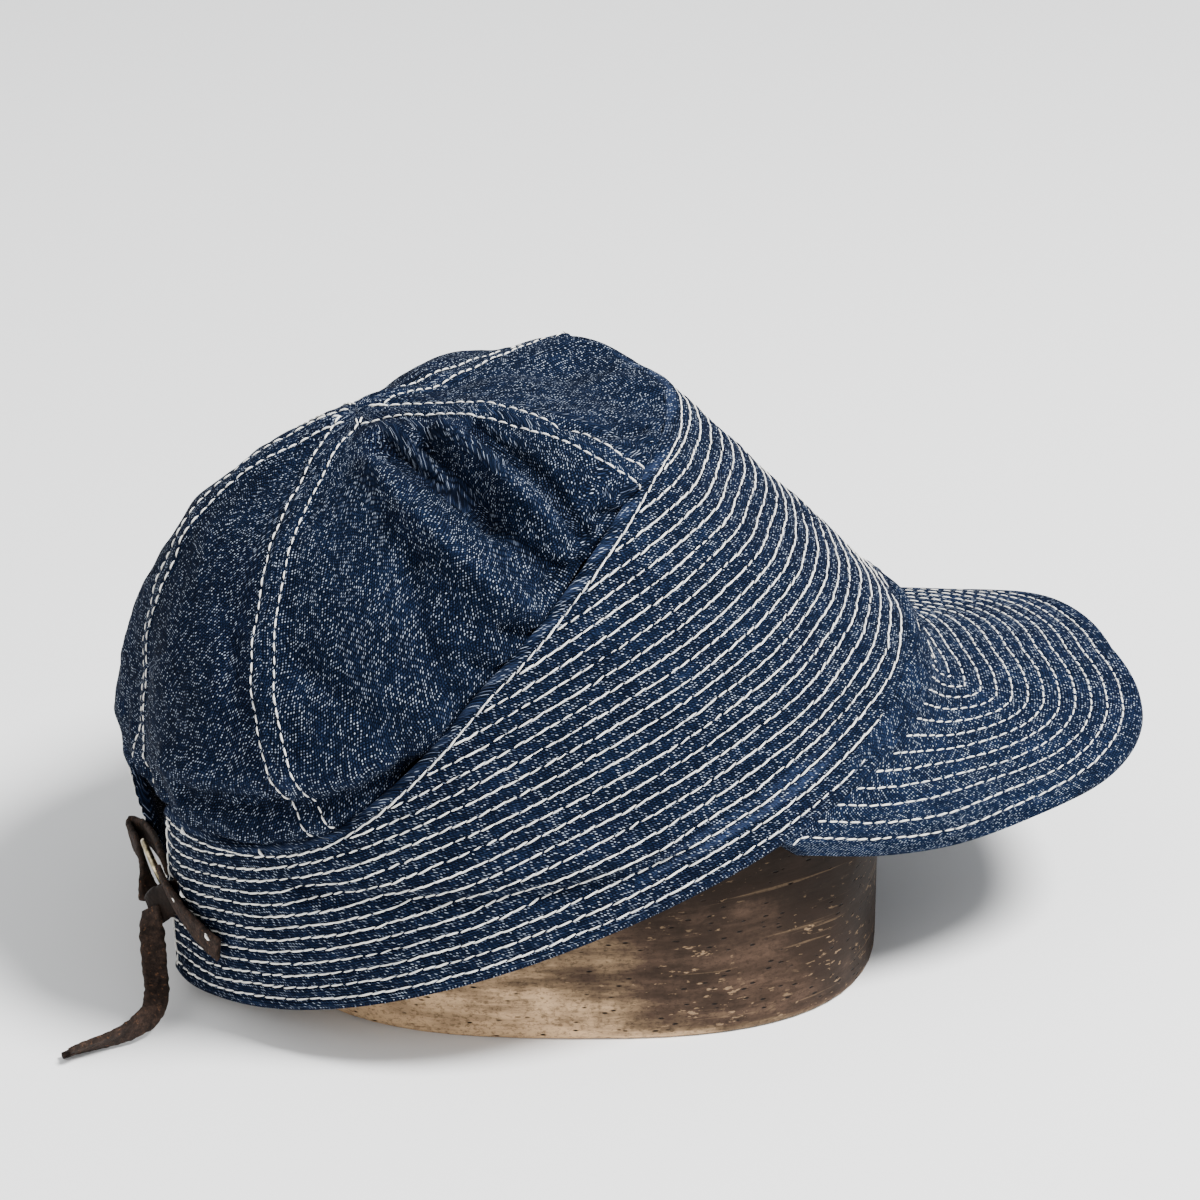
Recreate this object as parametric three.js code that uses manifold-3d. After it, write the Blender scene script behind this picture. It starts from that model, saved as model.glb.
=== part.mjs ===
// Sailor cap of stitched denim on a wooden block stand. Millimetres, +Z up, the visor points to +X.
// The origin is the middle of the block's foot, on the surface that it stands on.
import * as THREE from 'three';
import Module from 'manifold-3d';
import { mergeVertices } from 'three/addons/utils/BufferGeometryUtils.js';

const wasm = await Module();
wasm.setup();

// Sizes of the cap
const CAP_HALF_LENGTH = 103;
const CAP_HALF_WIDTH = 85;
const OVAL_POWER = 2.15;
const BAND_HEIGHT = 92;
const BAND_LEAN = 24;
const BAND_WALL = 3;
const BAND_TUCK = 7;
const RIGHT_END_ANGLE = -166.5;
const LEFT_END_ANGLE = 175;
const CROWN_HEIGHT = 110;
const CROWN_WALL = 2;
const APEX_BACK = 7;
const APEX_SIDE = 0;
const APEX_RADIUS = 1.6;
const CROWN_REACH = 60;
const CROWN_RIM_SHARE = 0.15;
const FOLD_DEPTH = 3.5;
const FOLD_WIDTH = 9;
const VISOR_REACH = 44;
const VISOR_DROP = 32;
const VISOR_WALL = 4;
const VISOR_DIP = 9;
const VISOR_HALF_ANGLE = 65;
const CROWN_SEAM_GAP = 0.8;
const CLEARANCE = 0.3;

// How the cap sits on its block
const CAP_TILT = 19.67;
const BACK_LIFT = 2;
const CAP_BACK = 7.5;
const CAP_SIDE = 10;

// Sizes of the block
const BLOCK_HALF_LENGTH = 75;
const BLOCK_HALF_WIDTH = 61;
const BLOCK_POWER = 2.7;
const BLOCK_TURN = -12;
const BLOCK_GAP = 0.6;

// Sizes of the adjuster at the back
const STRIP_WIDTH = 7;
const STRIP_WALL = 2;
const RING_WIRE = 1.6;
const RING_RISE = 0.53;
const RING_STAND_OFF = 1.5;
const RIGHT_TAB_LENGTH = 23;
const LEFT_TAB_LENGTH = 10;
const TAB_LOW_SHARE = 0.4;
const TAIL_WIDTH = 6.5;
const TAIL_WALL = 1.8;

// Steps of the meshes
const BAND_STEPS = 72;
const BAND_RISE_STEPS = 6;
const PANEL_COLUMN_ANGLE = 5;
const CROWN_STEPS = 16;
const VISOR_STEPS = 30;
const VISOR_REACH_STEPS = 7;
const BLOCK_STEPS = 64;
const RIGHT_TAB_STEPS = 4;
const LEFT_TAB_STEPS = 18;
const LACE_STEPS = 20;
const TAIL_STEPS = 30;
const RING_STEPS = 28;
const RING_WIRE_SIDES = 10;

// Small steps, in degrees and as a share, over which the direction of a surface is measured
const ANGLE_STEP = 0.5;
const SHARE_STEP = 0.01;

// Levels of the room inside the cap: a share of the band's height and shares of the crown's rise
const ROOM_BAND_SHARE = 0.93;
const ROOM_CROWN_SHARES = [0.04, 0.12, 0.22, 0.34, 0.48, 0.62, 0.76, 0.88, 0.96];

// The band all round: height as a share of BAND_HEIGHT, lean as a share of BAND_LEAN,
// tuck towards the inside as a share of BAND_TUCK. Angles run from the front, minus to the wearer's right.
const BAND_ROWS = [
  { angle: -180, height: 0.465, lean: 0.45, tuck: 0.7 },
  { angle: -166, height: 0.47, lean: 0.8, tuck: 0 },
  { angle: -150, height: 0.47, lean: 0.65, tuck: 0 },
  { angle: -130, height: 0.46, lean: 0.45, tuck: 0 },
  { angle: -118, height: 0.49, lean: 0.35, tuck: 0 },
  { angle: -104, height: 0.6, lean: 0.3, tuck: 0 },
  { angle: -88, height: 0.77, lean: 0.35, tuck: 0 },
  { angle: -68, height: 0.93, lean: 0.5, tuck: 0 },
  { angle: -50, height: 1, lean: 0.72, tuck: 0 },
  { angle: -25, height: 1, lean: 0.97, tuck: 0 },
  { angle: 0, height: 1, lean: 1, tuck: 0 },
  { angle: 25, height: 1, lean: 1, tuck: 0 },
  { angle: 50, height: 1, lean: 0.8, tuck: 0 },
  { angle: 68, height: 0.93, lean: 0.6, tuck: 0 },
  { angle: 88, height: 0.77, lean: 0.4, tuck: 0 },
  { angle: 104, height: 0.6, lean: 0.3, tuck: 0 },
  { angle: 118, height: 0.49, lean: 0.3, tuck: 0 },
  { angle: 130, height: 0.46, lean: 0.3, tuck: 0 },
  { angle: 150, height: 0.46, lean: 0.25, tuck: 0.2 },
  { angle: 168, height: 0.46, lean: 0.2, tuck: 0.7 },
  { angle: 175, height: 0.46, lean: 0.25, tuck: 0.9 },
  { angle: 180, height: 0.465, lean: 0.45, tuck: 0.7 },
];

// The crown's rise from the band: out is the angle of its start from upright in degrees,
// rise and top are the reach of its two bends as shares of CROWN_REACH.
const CROWN_ROWS = [
  { angle: -180, out: -15, rise: 0.7, top: 0.85 },
  { angle: -165, out: -5, rise: 0.65, top: 0.88 },
  { angle: -150, out: 12, rise: 0.6, top: 0.82 },
  { angle: -120, out: 20, rise: 0.65, top: 0.75 },
  { angle: -90, out: 5, rise: 0.5, top: 0.6 },
  { angle: -60, out: -15, rise: 0.35, top: 0.5 },
  { angle: -30, out: -40, rise: 0.3, top: 0.35 },
  { angle: 0, out: -55, rise: 0.3, top: 0.3 },
  { angle: 30, out: -60, rise: 0.3, top: 0.15 },
  { angle: 60, out: -45, rise: 0.3, top: 0.15 },
  { angle: 90, out: -25, rise: 0.4, top: 0.25 },
  { angle: 120, out: -12, rise: 0.5, top: 0.35 },
  { angle: 150, out: -12, rise: 0.65, top: 0.65 },
  { angle: 180, out: -15, rise: 0.7, top: 0.85 },
];

// The angle of each of the crown's five seams by the rise from the band to the apex.
const SEAM_ROWS = [
  { rise: 0, rightBack: -120, rightFront: -56, leftFront: 55, leftBack: 121, back: 183 },
  { rise: 0.25, rightBack: -123, rightFront: -57, leftFront: 54, leftBack: 123, back: 189 },
  { rise: 0.5, rightBack: -125, rightFront: -54.5, leftFront: 49.5, leftBack: 124, back: 183 },
  { rise: 0.75, rightBack: -126, rightFront: -50.5, leftFront: 44, leftBack: 123, back: 175 },
  { rise: 1, rightBack: -128, rightFront: -40, leftFront: 40, leftBack: 118, back: 177 },
];

// The five panels of the crown, by the seams they run from and to.
const PANELS = [
  { name: 'crown_panel_right', from: 'rightBack', to: 'rightFront' },
  { name: 'crown_panel_front', from: 'rightFront', to: 'leftFront' },
  { name: 'crown_panel_left', from: 'leftFront', to: 'leftBack' },
  { name: 'crown_panel_back_left', from: 'leftBack', to: 'back' },
  { name: 'crown_panel_back_right', from: 'back', to: 'rightBack' },
];

// Folds of the crown from one place to another: angle and rise (0 at the band, 1 at the apex) of both ends,
// depth as a share of FOLD_DEPTH (minus stands out) and width as a share of FOLD_WIDTH.
const FOLDS = [
  { fromAngle: -87, fromRise: 0.8, toAngle: -82, toRise: 0.4, depth: 0.9, width: 0.7 },
  { fromAngle: -82, fromRise: 0.4, toAngle: -77.5, toRise: 0.06, depth: 1, width: 0.8 },
  { fromAngle: -73.5, fromRise: 0.74, toAngle: -80, toRise: 0.46, depth: 0.6, width: 0.7 },
  { fromAngle: -66, fromRise: 0.5, toAngle: -71, toRise: 0.08, depth: 0.9, width: 0.8 },
  { fromAngle: -88, fromRise: 0.5, toAngle: -87, toRise: 0.2, depth: -0.5, width: 0.9 },
  { fromAngle: -95, fromRise: 0.45, toAngle: -96, toRise: 0.08, depth: 0.7, width: 0.9 },
  { fromAngle: -117, fromRise: 0.41, toAngle: -107, toRise: 0.19, depth: 0.5, width: 1 },
  { fromAngle: -134, fromRise: 0.16, toAngle: -106, toRise: 0.03, depth: 0.8, width: 0.7 },
  { fromAngle: -134, fromRise: 0.5, toAngle: -131, toRise: 0.38, depth: 0.4, width: 1.2 },
  { fromAngle: -52, fromRise: 0.36, toAngle: -34, toRise: 0.07, depth: 0.6, width: 0.9 },
  { fromAngle: -13, fromRise: 0.2, toAngle: 10, toRise: 0.3, depth: 0.6, width: 1 },
  { fromAngle: 50, fromRise: 0.6, toAngle: 60, toRise: 0.2, depth: 0.8, width: 1.2 },
  { fromAngle: 90, fromRise: 0.7, toAngle: 84, toRise: 0.2, depth: 0.8, width: 1.3 },
  { fromAngle: 118, fromRise: 0.5, toAngle: 112, toRise: 0.15, depth: 0.5, width: 1.3 },
  { fromAngle: 158, fromRise: 0.5, toAngle: 150, toRise: 0.2, depth: 0.5, width: 1.4 },
];

// The visor's outer edge: reach forward as a share of VISOR_REACH, tuck to the middle as a share
// of VISOR_REACH, drop as a share of VISOR_DROP. angle is a share of VISOR_HALF_ANGLE.
const VISOR_ROWS = [
  { angle: 0, reach: 1, tuck: 0, drop: 1 },
  { angle: 0.23, reach: 1.045, tuck: 0, drop: 1.01 },
  { angle: 0.46, reach: 1.095, tuck: 0.04, drop: 1.015 },
  { angle: 0.62, reach: 1.08, tuck: 0.07, drop: 1 },
  { angle: 0.74, reach: 1.01, tuck: 0.105, drop: 0.96 },
  { angle: 0.83, reach: 0.845, tuck: 0.125, drop: 0.89 },
  { angle: 0.89, reach: 0.6, tuck: 0.14, drop: 0.79 },
  { angle: 0.95, reach: 0.34, tuck: 0.105, drop: 0.54 },
  { angle: 1, reach: 0.09, tuck: 0.015, drop: 0.18 },
];

// The lace's free end, from the ring down to the surface and along it.
const TAIL_ROUTE = [
  [-107.4, -11.2, 20.5], [-107.8, -14.3, 18], [-108, -17.8, 15.4], [-108.1, -20.7, 13],
  [-108.3, -23.6, 10.5], [-108.4, -27.4, 8.5], [-109.2, -31.9, 7], [-111.1, -36, 5.6],
  [-113.9, -38.5, 4.8], [-117.2, -40.3, 4.1], [-121, -41.6, 3.5], [-124.6, -42.2, 3],
  [-128.5, -43, 2.7], [-132.2, -44.6, 2.5],
];

const rad = THREE.MathUtils.degToRad;

// A value of a table's column at a value of its first column, on a smooth curve through the rows.
function fromRows(rows, column, where) {
  const key = Object.keys(rows[0])[0];
  const last = rows.length - 1;
  let k = 0;
  while (k < last - 1 && where > rows[k + 1][key]) {
    k += 1;
  }
  const slope = (i) => {
    const a = rows[Math.max(0, i - 1)];
    const b = rows[Math.min(last, i + 1)];
    return (b[column] - a[column]) / (b[key] - a[key]);
  };
  const span = rows[k + 1][key] - rows[k][key];
  const t = THREE.MathUtils.clamp((where - rows[k][key]) / span, 0, 1);
  const t2 = t * t;
  const t3 = t2 * t;
  return rows[k][column] * (2 * t3 - 3 * t2 + 1) + slope(k) * span * (t3 - 2 * t2 + t)
    + rows[k + 1][column] * (3 * t2 - 2 * t3) + slope(k + 1) * span * (t3 - t2);
}

// A point of an upright oval, with power 2 an ellipse and more squarer.
function ovalPoint(halfLength, halfWidth, power, angle) {
  const c = Math.cos(rad(angle));
  const s = Math.sin(rad(angle));
  const x = Math.sign(c) * Math.abs(c) ** (2 / power) * halfLength;
  const y = Math.sign(s) * Math.abs(s) ** (2 / power) * halfWidth;
  return new THREE.Vector3(x, y, 0);
}

// The outward direction of the cap's lower edge.
function outward(angle) {
  const p = ovalPoint(CAP_HALF_LENGTH, CAP_HALF_WIDTH, OVAL_POWER, angle);
  const x = Math.sign(p.x) * (Math.abs(p.x) / CAP_HALF_LENGTH) ** (OVAL_POWER - 1) / CAP_HALF_LENGTH;
  const y = Math.sign(p.y) * (Math.abs(p.y) / CAP_HALF_WIDTH) ** (OVAL_POWER - 1) / CAP_HALF_WIDTH;
  return new THREE.Vector3(x, y, 0).normalize();
}

// An angle brought into -180 to 180.
function wrapped(angle) {
  return THREE.MathUtils.euclideanModulo(angle + 180, 360) - 180;
}

// The outside of the band: share 0 at the lower edge and 1 at the top edge.
function bandPoint(angle, share, depth = 0) {
  const a = wrapped(angle);
  const height = fromRows(BAND_ROWS, 'height', a) * BAND_HEIGHT;
  const lean = rad(fromRows(BAND_ROWS, 'lean', a) * BAND_LEAN);
  const tuck = fromRows(BAND_ROWS, 'tuck', a) * BAND_TUCK + depth;
  const p = ovalPoint(CAP_HALF_LENGTH, CAP_HALF_WIDTH, OVAL_POWER, a);
  p.addScaledVector(outward(a), -tuck - height * share * Math.sin(lean));
  p.z = height * share * Math.cos(lean);
  return p;
}

// The crown's outside without its folds: rise 0 on the band's top edge, 1 at the apex.
function crownCurve(angle) {
  const a = wrapped(angle);
  const lean = rad(fromRows(BAND_ROWS, 'lean', a) * BAND_LEAN);
  const start = bandPoint(a, 1, (BAND_WALL - CROWN_WALL) / 2);
  const out = outward(a);
  start.addScaledVector(out, -CROWN_SEAM_GAP * Math.sin(lean));
  start.z += CROWN_SEAM_GAP * Math.cos(lean);
  const apex = new THREE.Vector3(-APEX_BACK, APEX_SIDE, CROWN_HEIGHT);
  const flat = new THREE.Vector3(start.x - apex.x, start.y - apex.y, 0).normalize();
  const turn = rad(fromRows(CROWN_ROWS, 'out', a));
  const rise = fromRows(CROWN_ROWS, 'rise', a) * CROWN_REACH;
  const top = fromRows(CROWN_ROWS, 'top', a) * CROWN_REACH;
  const bend1 = start.clone().addScaledVector(flat, Math.sin(turn) * rise);
  bend1.z += Math.cos(turn) * rise;
  const end = apex.clone().addScaledVector(flat, APEX_RADIUS);
  const bend2 = end.clone().addScaledVector(flat, top);
  return new THREE.CubicBezierCurve3(start, bend1, bend2, end);
}

function smoothCrownPoint(angle, rise) {
  return crownCurve(angle).getPoint(rise);
}

const foldLines = FOLDS.map((fold) => {
  const from = smoothCrownPoint(fold.fromAngle, fold.fromRise);
  const to = smoothCrownPoint(fold.toAngle, fold.toRise);
  const line = new THREE.Line3(from, to);
  return { line, depth: fold.depth * FOLD_DEPTH, width: fold.width * FOLD_WIDTH };
});

// How far the folds press the crown in at a point.
function foldDepth(point) {
  const near = new THREE.Vector3();
  let depth = 0;
  for (const fold of foldLines) {
    fold.line.closestPointToPoint(point, true, near);
    depth += fold.depth * Math.exp(-((near.distanceTo(point) / fold.width) ** 2));
  }
  return depth;
}

// The crown's smooth form moved in by a depth, level with the band's wall at its lower edge.
function smoothCrownInside(angle, rise, depth) {
  const across = smoothCrownPoint(angle + ANGLE_STEP, rise).sub(smoothCrownPoint(angle - ANGLE_STEP, rise));
  const low = Math.max(0, rise - SHARE_STEP);
  const high = Math.min(1, rise + SHARE_STEP);
  const rising = smoothCrownPoint(angle, high).sub(smoothCrownPoint(angle, low));
  const normal = across.cross(rising).normalize();
  const inward = outward(wrapped(angle)).lerp(normal, THREE.MathUtils.smoothstep(rise, 0, CROWN_RIM_SHARE));
  return smoothCrownPoint(angle, rise).addScaledVector(inward.normalize(), -depth);
}

// The crown with its folds, at a depth under its outside.
function crownPoint(angle, rise, depth) {
  return smoothCrownInside(angle, rise, depth + foldDepth(smoothCrownPoint(angle, rise)));
}

// A closed solid between an outer and an inner grid of points, over columns and rows.
function sheetSolid(outerAt, innerAt, columns, rows) {
  const points = [];
  const faces = [];
  const grid = (pointAt) => {
    const first = points.length / 3;
    for (let i = 0; i <= columns; i += 1) {
      for (let j = 0; j <= rows; j += 1) {
        points.push(...pointAt(i / columns, j / rows).toArray());
      }
    }
    return (i, j) => first + i * (rows + 1) + j;
  };
  const outer = grid(outerAt);
  const inner = grid(innerAt);
  const quad = (a, b, c, d) => faces.push(a, b, c, a, c, d);
  for (let i = 0; i < columns; i += 1) {
    for (let j = 0; j < rows; j += 1) {
      quad(outer(i, j), outer(i + 1, j), outer(i + 1, j + 1), outer(i, j + 1));
      quad(inner(i, j), inner(i, j + 1), inner(i + 1, j + 1), inner(i + 1, j));
    }
  }
  for (let i = 0; i < columns; i += 1) {
    quad(outer(i, 0), inner(i, 0), inner(i + 1, 0), outer(i + 1, 0));
    quad(outer(i + 1, rows), inner(i + 1, rows), inner(i, rows), outer(i, rows));
  }
  for (let j = 0; j < rows; j += 1) {
    quad(outer(0, j + 1), inner(0, j + 1), inner(0, j), outer(0, j));
    quad(outer(columns, j), inner(columns, j), inner(columns, j + 1), outer(columns, j + 1));
  }
  const geometry = new THREE.BufferGeometry();
  geometry.setAttribute('position', new THREE.Float32BufferAttribute(points, 3));
  geometry.setIndex(faces);
  geometry.computeVertexNormals();
  return geometry;
}

function bandSolid() {
  const angleAt = (u) => THREE.MathUtils.lerp(RIGHT_END_ANGLE, LEFT_END_ANGLE, u);
  const outer = (u, v) => bandPoint(angleAt(u), v);
  const inner = (u, v) => bandPoint(angleAt(u), v, BAND_WALL);
  return sheetSolid(outer, inner, BAND_STEPS, BAND_RISE_STEPS);
}

// The angles at a rise between which a panel lies, going on round past the back.
function panelEnds(panel, rise) {
  const from = fromRows(SEAM_ROWS, panel.from, rise);
  const to = fromRows(SEAM_ROWS, panel.to, rise);
  return { from, to: to > from ? to : to + 360 };
}

function panelSolid(panel) {
  const lowest = panelEnds(panel, 0);
  const columns = Math.round((lowest.to - lowest.from) / PANEL_COLUMN_ANGLE);
  const angleAt = (u, rise) => {
    const { from, to } = panelEnds(panel, rise);
    const edge = smoothCrownPoint(from, rise);
    const reach = Math.hypot(edge.x + APEX_BACK, edge.y - APEX_SIDE);
    const half = THREE.MathUtils.radToDeg(CLEARANCE / 2 / reach);
    return THREE.MathUtils.lerp(from + half, to - half, u);
  };
  const outer = (u, v) => crownPoint(angleAt(u, v), v, 0);
  const inner = (u, v) => crownPoint(angleAt(u, v), v, CROWN_WALL);
  return sheetSolid(outer, inner, columns, CROWN_STEPS);
}

// The top side of the visor: reach 0 under the band's edge, 1 at the outer edge.
function visorPoint(side, reach) {
  const share = Math.abs(side);
  const angle = side * VISOR_HALF_ANGLE;
  const root = ovalPoint(CAP_HALF_LENGTH, CAP_HALF_WIDTH, OVAL_POWER, angle);
  root.addScaledVector(outward(angle), -CLEARANCE);
  root.z = -CLEARANCE;
  const rim = root.clone();
  rim.x += fromRows(VISOR_ROWS, 'reach', share) * VISOR_REACH;
  rim.y -= Math.sign(side) * fromRows(VISOR_ROWS, 'tuck', share) * VISOR_REACH;
  rim.z -= fromRows(VISOR_ROWS, 'drop', share) * VISOR_DROP;
  const p = root.lerp(rim, reach);
  p.z -= VISOR_DIP * Math.sin(Math.PI * Math.cbrt(reach)) * (1 - share ** 4);
  return p;
}

function visorSolid() {
  const sideAt = (u) => 1 - 2 * u;
  const outer = (u, v) => visorPoint(sideAt(u), v);
  const inner = (u, v) => {
    const side = sideAt(u);
    const left = Math.min(1, side + SHARE_STEP);
    const right = Math.max(-1, side - SHARE_STEP);
    const across = visorPoint(left, v).sub(visorPoint(right, v));
    const far = visorPoint(side, Math.min(1, v + SHARE_STEP));
    const out = far.sub(visorPoint(side, Math.max(0, v - SHARE_STEP)));
    const normal = across.cross(out).normalize();
    return visorPoint(side, v).addScaledVector(normal, VISOR_WALL);
  };
  return sheetSolid(outer, inner, VISOR_STEPS, VISOR_REACH_STEPS);
}

// A flat strip along stations, each with its middle and the direction of its width.
function stripSolid(stations, width, wall) {
  const last = stations.length - 1;
  const at = (u, v, side) => {
    const k = Math.round(u * last);
    const after = stations[Math.min(last, k + 1)].middle;
    const before = stations[Math.max(0, k - 1)].middle;
    const along = after.clone().sub(before).normalize();
    const across = stations[k].across.clone().projectOnPlane(along).normalize();
    const normal = along.clone().cross(across);
    const p = stations[k].middle.clone().addScaledVector(across, (v - 0.5) * width);
    return p.addScaledVector(normal, side * wall / 2);
  };
  return sheetSolid((u, v) => at(u, v, 1), (u, v) => at(u, v, -1), last, 1);
}

// The middle of the ring, between the two ends of the band and a little proud of them.
const up = new THREE.Vector3(0, 0, 1);
const ringAngle = (RIGHT_END_ANGLE + LEFT_END_ANGLE - 360) / 2;
const ringOut = outward(wrapped(ringAngle));
const ringSide = up.clone().cross(ringOut);
const ringMiddle = bandPoint(ringAngle, RING_RISE).addScaledVector(ringOut, RING_STAND_OFF);
const ringRadius = STRIP_WIDTH / 2 + STRIP_WALL + CLEARANCE;

// How far a strip's middle keeps from the wire's middle, and how much the wire curves within its width.
const stripAway = RING_WIRE / 2 + CLEARANCE + STRIP_WALL / 2;
const wireSag = ringRadius - Math.sqrt(ringRadius ** 2 - (STRIP_WIDTH / 2) ** 2);
const tabRound = stripAway + wireSag / 2;
const tabBendSide = wireSag / 2 - ringRadius;
const laceRound = stripAway + CLEARANCE;
const laceBendSide = tabBendSide + tabRound + STRIP_WALL + 2 * CLEARANCE + laceRound;

// A point by the ring: side to the wearer's right and out of the band.
function byRing(side, out) {
  return ringMiddle.clone().addScaledVector(ringSide, side).addScaledVector(ringOut, out);
}

// A point of a bend round the ring's wire, by its middle, radius and angle from the wearer's right.
function bendPoint(side, radius, angle) {
  return byRing(side + radius * Math.cos(rad(angle)), radius * Math.sin(rad(angle)));
}

function ringSolid() {
  const geometry = new THREE.TorusGeometry(ringRadius, RING_WIRE / 2, RING_WIRE_SIDES, RING_STEPS);
  geometry.applyQuaternion(new THREE.Quaternion().setFromUnitVectors(up, ringOut));
  geometry.translate(...ringMiddle.toArray());
  return geometry;
}

// The angle that a length along the back of the band takes up.
function turnOf(length) {
  return THREE.MathUtils.radToDeg(length / CAP_HALF_LENGTH);
}

// The direction up the band's wall at an angle.
function bandRise(angle) {
  return bandPoint(angle, 1).sub(bandPoint(angle, 0)).normalize();
}

// The middle line of a strip lying on the band, at an angle and share of its height.
function onBand(angle, share) {
  const away = (2 * CLEARANCE + STRIP_WALL / 2) / bandRise(angle).z;
  return bandPoint(angle, share).addScaledVector(outward(wrapped(angle)), away);
}

// Stations along a smooth line through points, with the width turning from one direction to another.
function stationsAlong(middles, count, from, to) {
  const curve = new THREE.CatmullRomCurve3(middles, false, 'centripetal');
  return curve.getPoints(count).map((middle, k) => ({ middle, across: from.clone().lerp(to, k / count) }));
}

// Where the right strip ends and the lace goes on, just before the band's end.
const tabEndAngle = RIGHT_END_ANGLE + turnOf(STRIP_WALL);

// The strip sewn slanting on the right end of the band.
function rightTabSolid() {
  const start = tabEndAngle + turnOf(RIGHT_TAB_LENGTH);
  const stations = [];
  for (let k = 0; k <= RIGHT_TAB_STEPS; k += 1) {
    const angle = THREE.MathUtils.lerp(start, tabEndAngle, k / RIGHT_TAB_STEPS);
    const share = THREE.MathUtils.lerp(TAB_LOW_SHARE, RING_RISE, k / RIGHT_TAB_STEPS);
    stations.push({ middle: onBand(angle, share), across: bandRise(angle) });
  }
  return stripSolid(stations, STRIP_WIDTH, STRIP_WALL);
}

// The lace from the right tab through the ring and out again.
function laceSolid() {
  const middles = [
    onBand(tabEndAngle - turnOf(CLEARANCE + STRIP_WALL / 2), RING_RISE),
    onBand(RIGHT_END_ANGLE - turnOf(2 * STRIP_WALL), RING_RISE),
    byRing(ringRadius + RING_WIRE / 2, -laceRound),
    bendPoint(laceBendSide, laceRound, -90),
    bendPoint(laceBendSide, laceRound, -135),
    bendPoint(laceBendSide, laceRound, 180),
    bendPoint(laceBendSide, laceRound, 135),
    bendPoint(laceBendSide, laceRound, 90),
    byRing(ringRadius + stripAway, laceRound),
  ];
  return stripSolid(stationsAlong(middles, LACE_STEPS, bandRise(tabEndAngle), up), STRIP_WIDTH, STRIP_WALL);
}

// The strip sewn on the left end of the band, bent round the ring's far wire.
function leftTabSolid() {
  const start = LEFT_END_ANGLE - turnOf(LEFT_TAB_LENGTH);
  const middles = [
    onBand(start, RING_RISE),
    onBand(LEFT_END_ANGLE + turnOf(STRIP_WALL), RING_RISE),
    bendPoint(tabBendSide, tabRound, 90),
    bendPoint(tabBendSide, tabRound, 45),
    bendPoint(tabBendSide, tabRound, 0),
    bendPoint(tabBendSide, tabRound, -45),
    bendPoint(tabBendSide, tabRound, -90),
  ];
  return stripSolid(stationsAlong(middles, LEFT_TAB_STEPS, bandRise(start), up), STRIP_WIDTH, STRIP_WALL);
}

// The free end of the lace, a flat cord.
function tailSolid() {
  const route = TAIL_ROUTE.map((point) => new THREE.Vector3(...point));
  const bevel = TAIL_WALL / 4;
  const x = TAIL_WIDTH / 2;
  const y = TAIL_WALL / 2;
  const corners = [
    [x, y - bevel], [x - bevel, y], [bevel - x, y], [-x, y - bevel],
    [-x, bevel - y], [bevel - x, -y], [x - bevel, -y], [x, bevel - y],
  ];
  const section = new THREE.Shape(corners.map((corner) => new THREE.Vector2(...corner)));
  return new THREE.ExtrudeGeometry(section, {
    steps: TAIL_STEPS,
    extrudePath: new THREE.CatmullRomCurve3(route),
  });
}

const cap = new THREE.Group();
cap.position.set(-CAP_BACK, CAP_SIDE, BACK_LIFT + CAP_HALF_LENGTH * Math.sin(rad(CAP_TILT)));
cap.rotation.y = -rad(CAP_TILT);
cap.updateMatrixWorld(true);

// A closed mesh as a solid that can be cut.
function asManifold(geometry) {
  const bare = geometry.clone();
  bare.deleteAttribute('normal');
  bare.deleteAttribute('uv');
  const merged = mergeVertices(bare, 1e-4);
  return new wasm.Manifold(new wasm.Mesh({
    numProp: 3,
    vertProperties: new Float32Array(merged.attributes.position.array),
    triVerts: new Uint32Array(merged.index.array),
  }));
}

function fromManifold(solid) {
  const mesh = solid.getMesh();
  const geometry = new THREE.BufferGeometry();
  geometry.setAttribute('position', new THREE.BufferAttribute(new Float32Array(mesh.vertProperties), 3));
  geometry.setIndex(new THREE.BufferAttribute(new Uint32Array(mesh.triVerts), 1));
  geometry.computeVertexNormals();
  return geometry;
}

// The room inside the cap, drawn down past its lower edge.
function capRoom() {
  const deepest = Math.max(...FOLDS.map((fold) => fold.depth)) * FOLD_DEPTH * 2;
  const away = Math.max(BAND_WALL, CROWN_WALL + deepest) + BLOCK_GAP;
  const below = CAP_HALF_LENGTH;
  const points = [];
  const faces = [];
  const rows = ROOM_CROWN_SHARES.length + 3;
  for (let i = 0; i < BLOCK_STEPS; i += 1) {
    const angle = (i / BLOCK_STEPS) * 360;
    const foot = bandPoint(angle, 0, away);
    points.push(foot.x, foot.y, -below);
    points.push(...foot.toArray());
    points.push(...bandPoint(angle, ROOM_BAND_SHARE, away).toArray());
    for (const share of ROOM_CROWN_SHARES) {
      points.push(...smoothCrownInside(angle, share, away).toArray());
    }
  }
  const centreLow = points.length / 3;
  points.push(-APEX_BACK, APEX_SIDE, -below);
  points.push(-APEX_BACK, APEX_SIDE, CROWN_HEIGHT - away);
  for (let i = 0; i < BLOCK_STEPS; i += 1) {
    const a = i * rows;
    const b = ((i + 1) % BLOCK_STEPS) * rows;
    for (let j = 0; j < rows - 1; j += 1) {
      faces.push(a + j, b + j, b + j + 1, a + j, b + j + 1, a + j + 1);
    }
    faces.push(centreLow, b, a);
    faces.push(centreLow + 1, a + rows - 1, b + rows - 1);
  }
  const geometry = new THREE.BufferGeometry();
  geometry.setAttribute('position', new THREE.Float32BufferAttribute(points, 3));
  geometry.setIndex(faces);
  return geometry.applyMatrix4(cap.matrixWorld);
}

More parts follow.
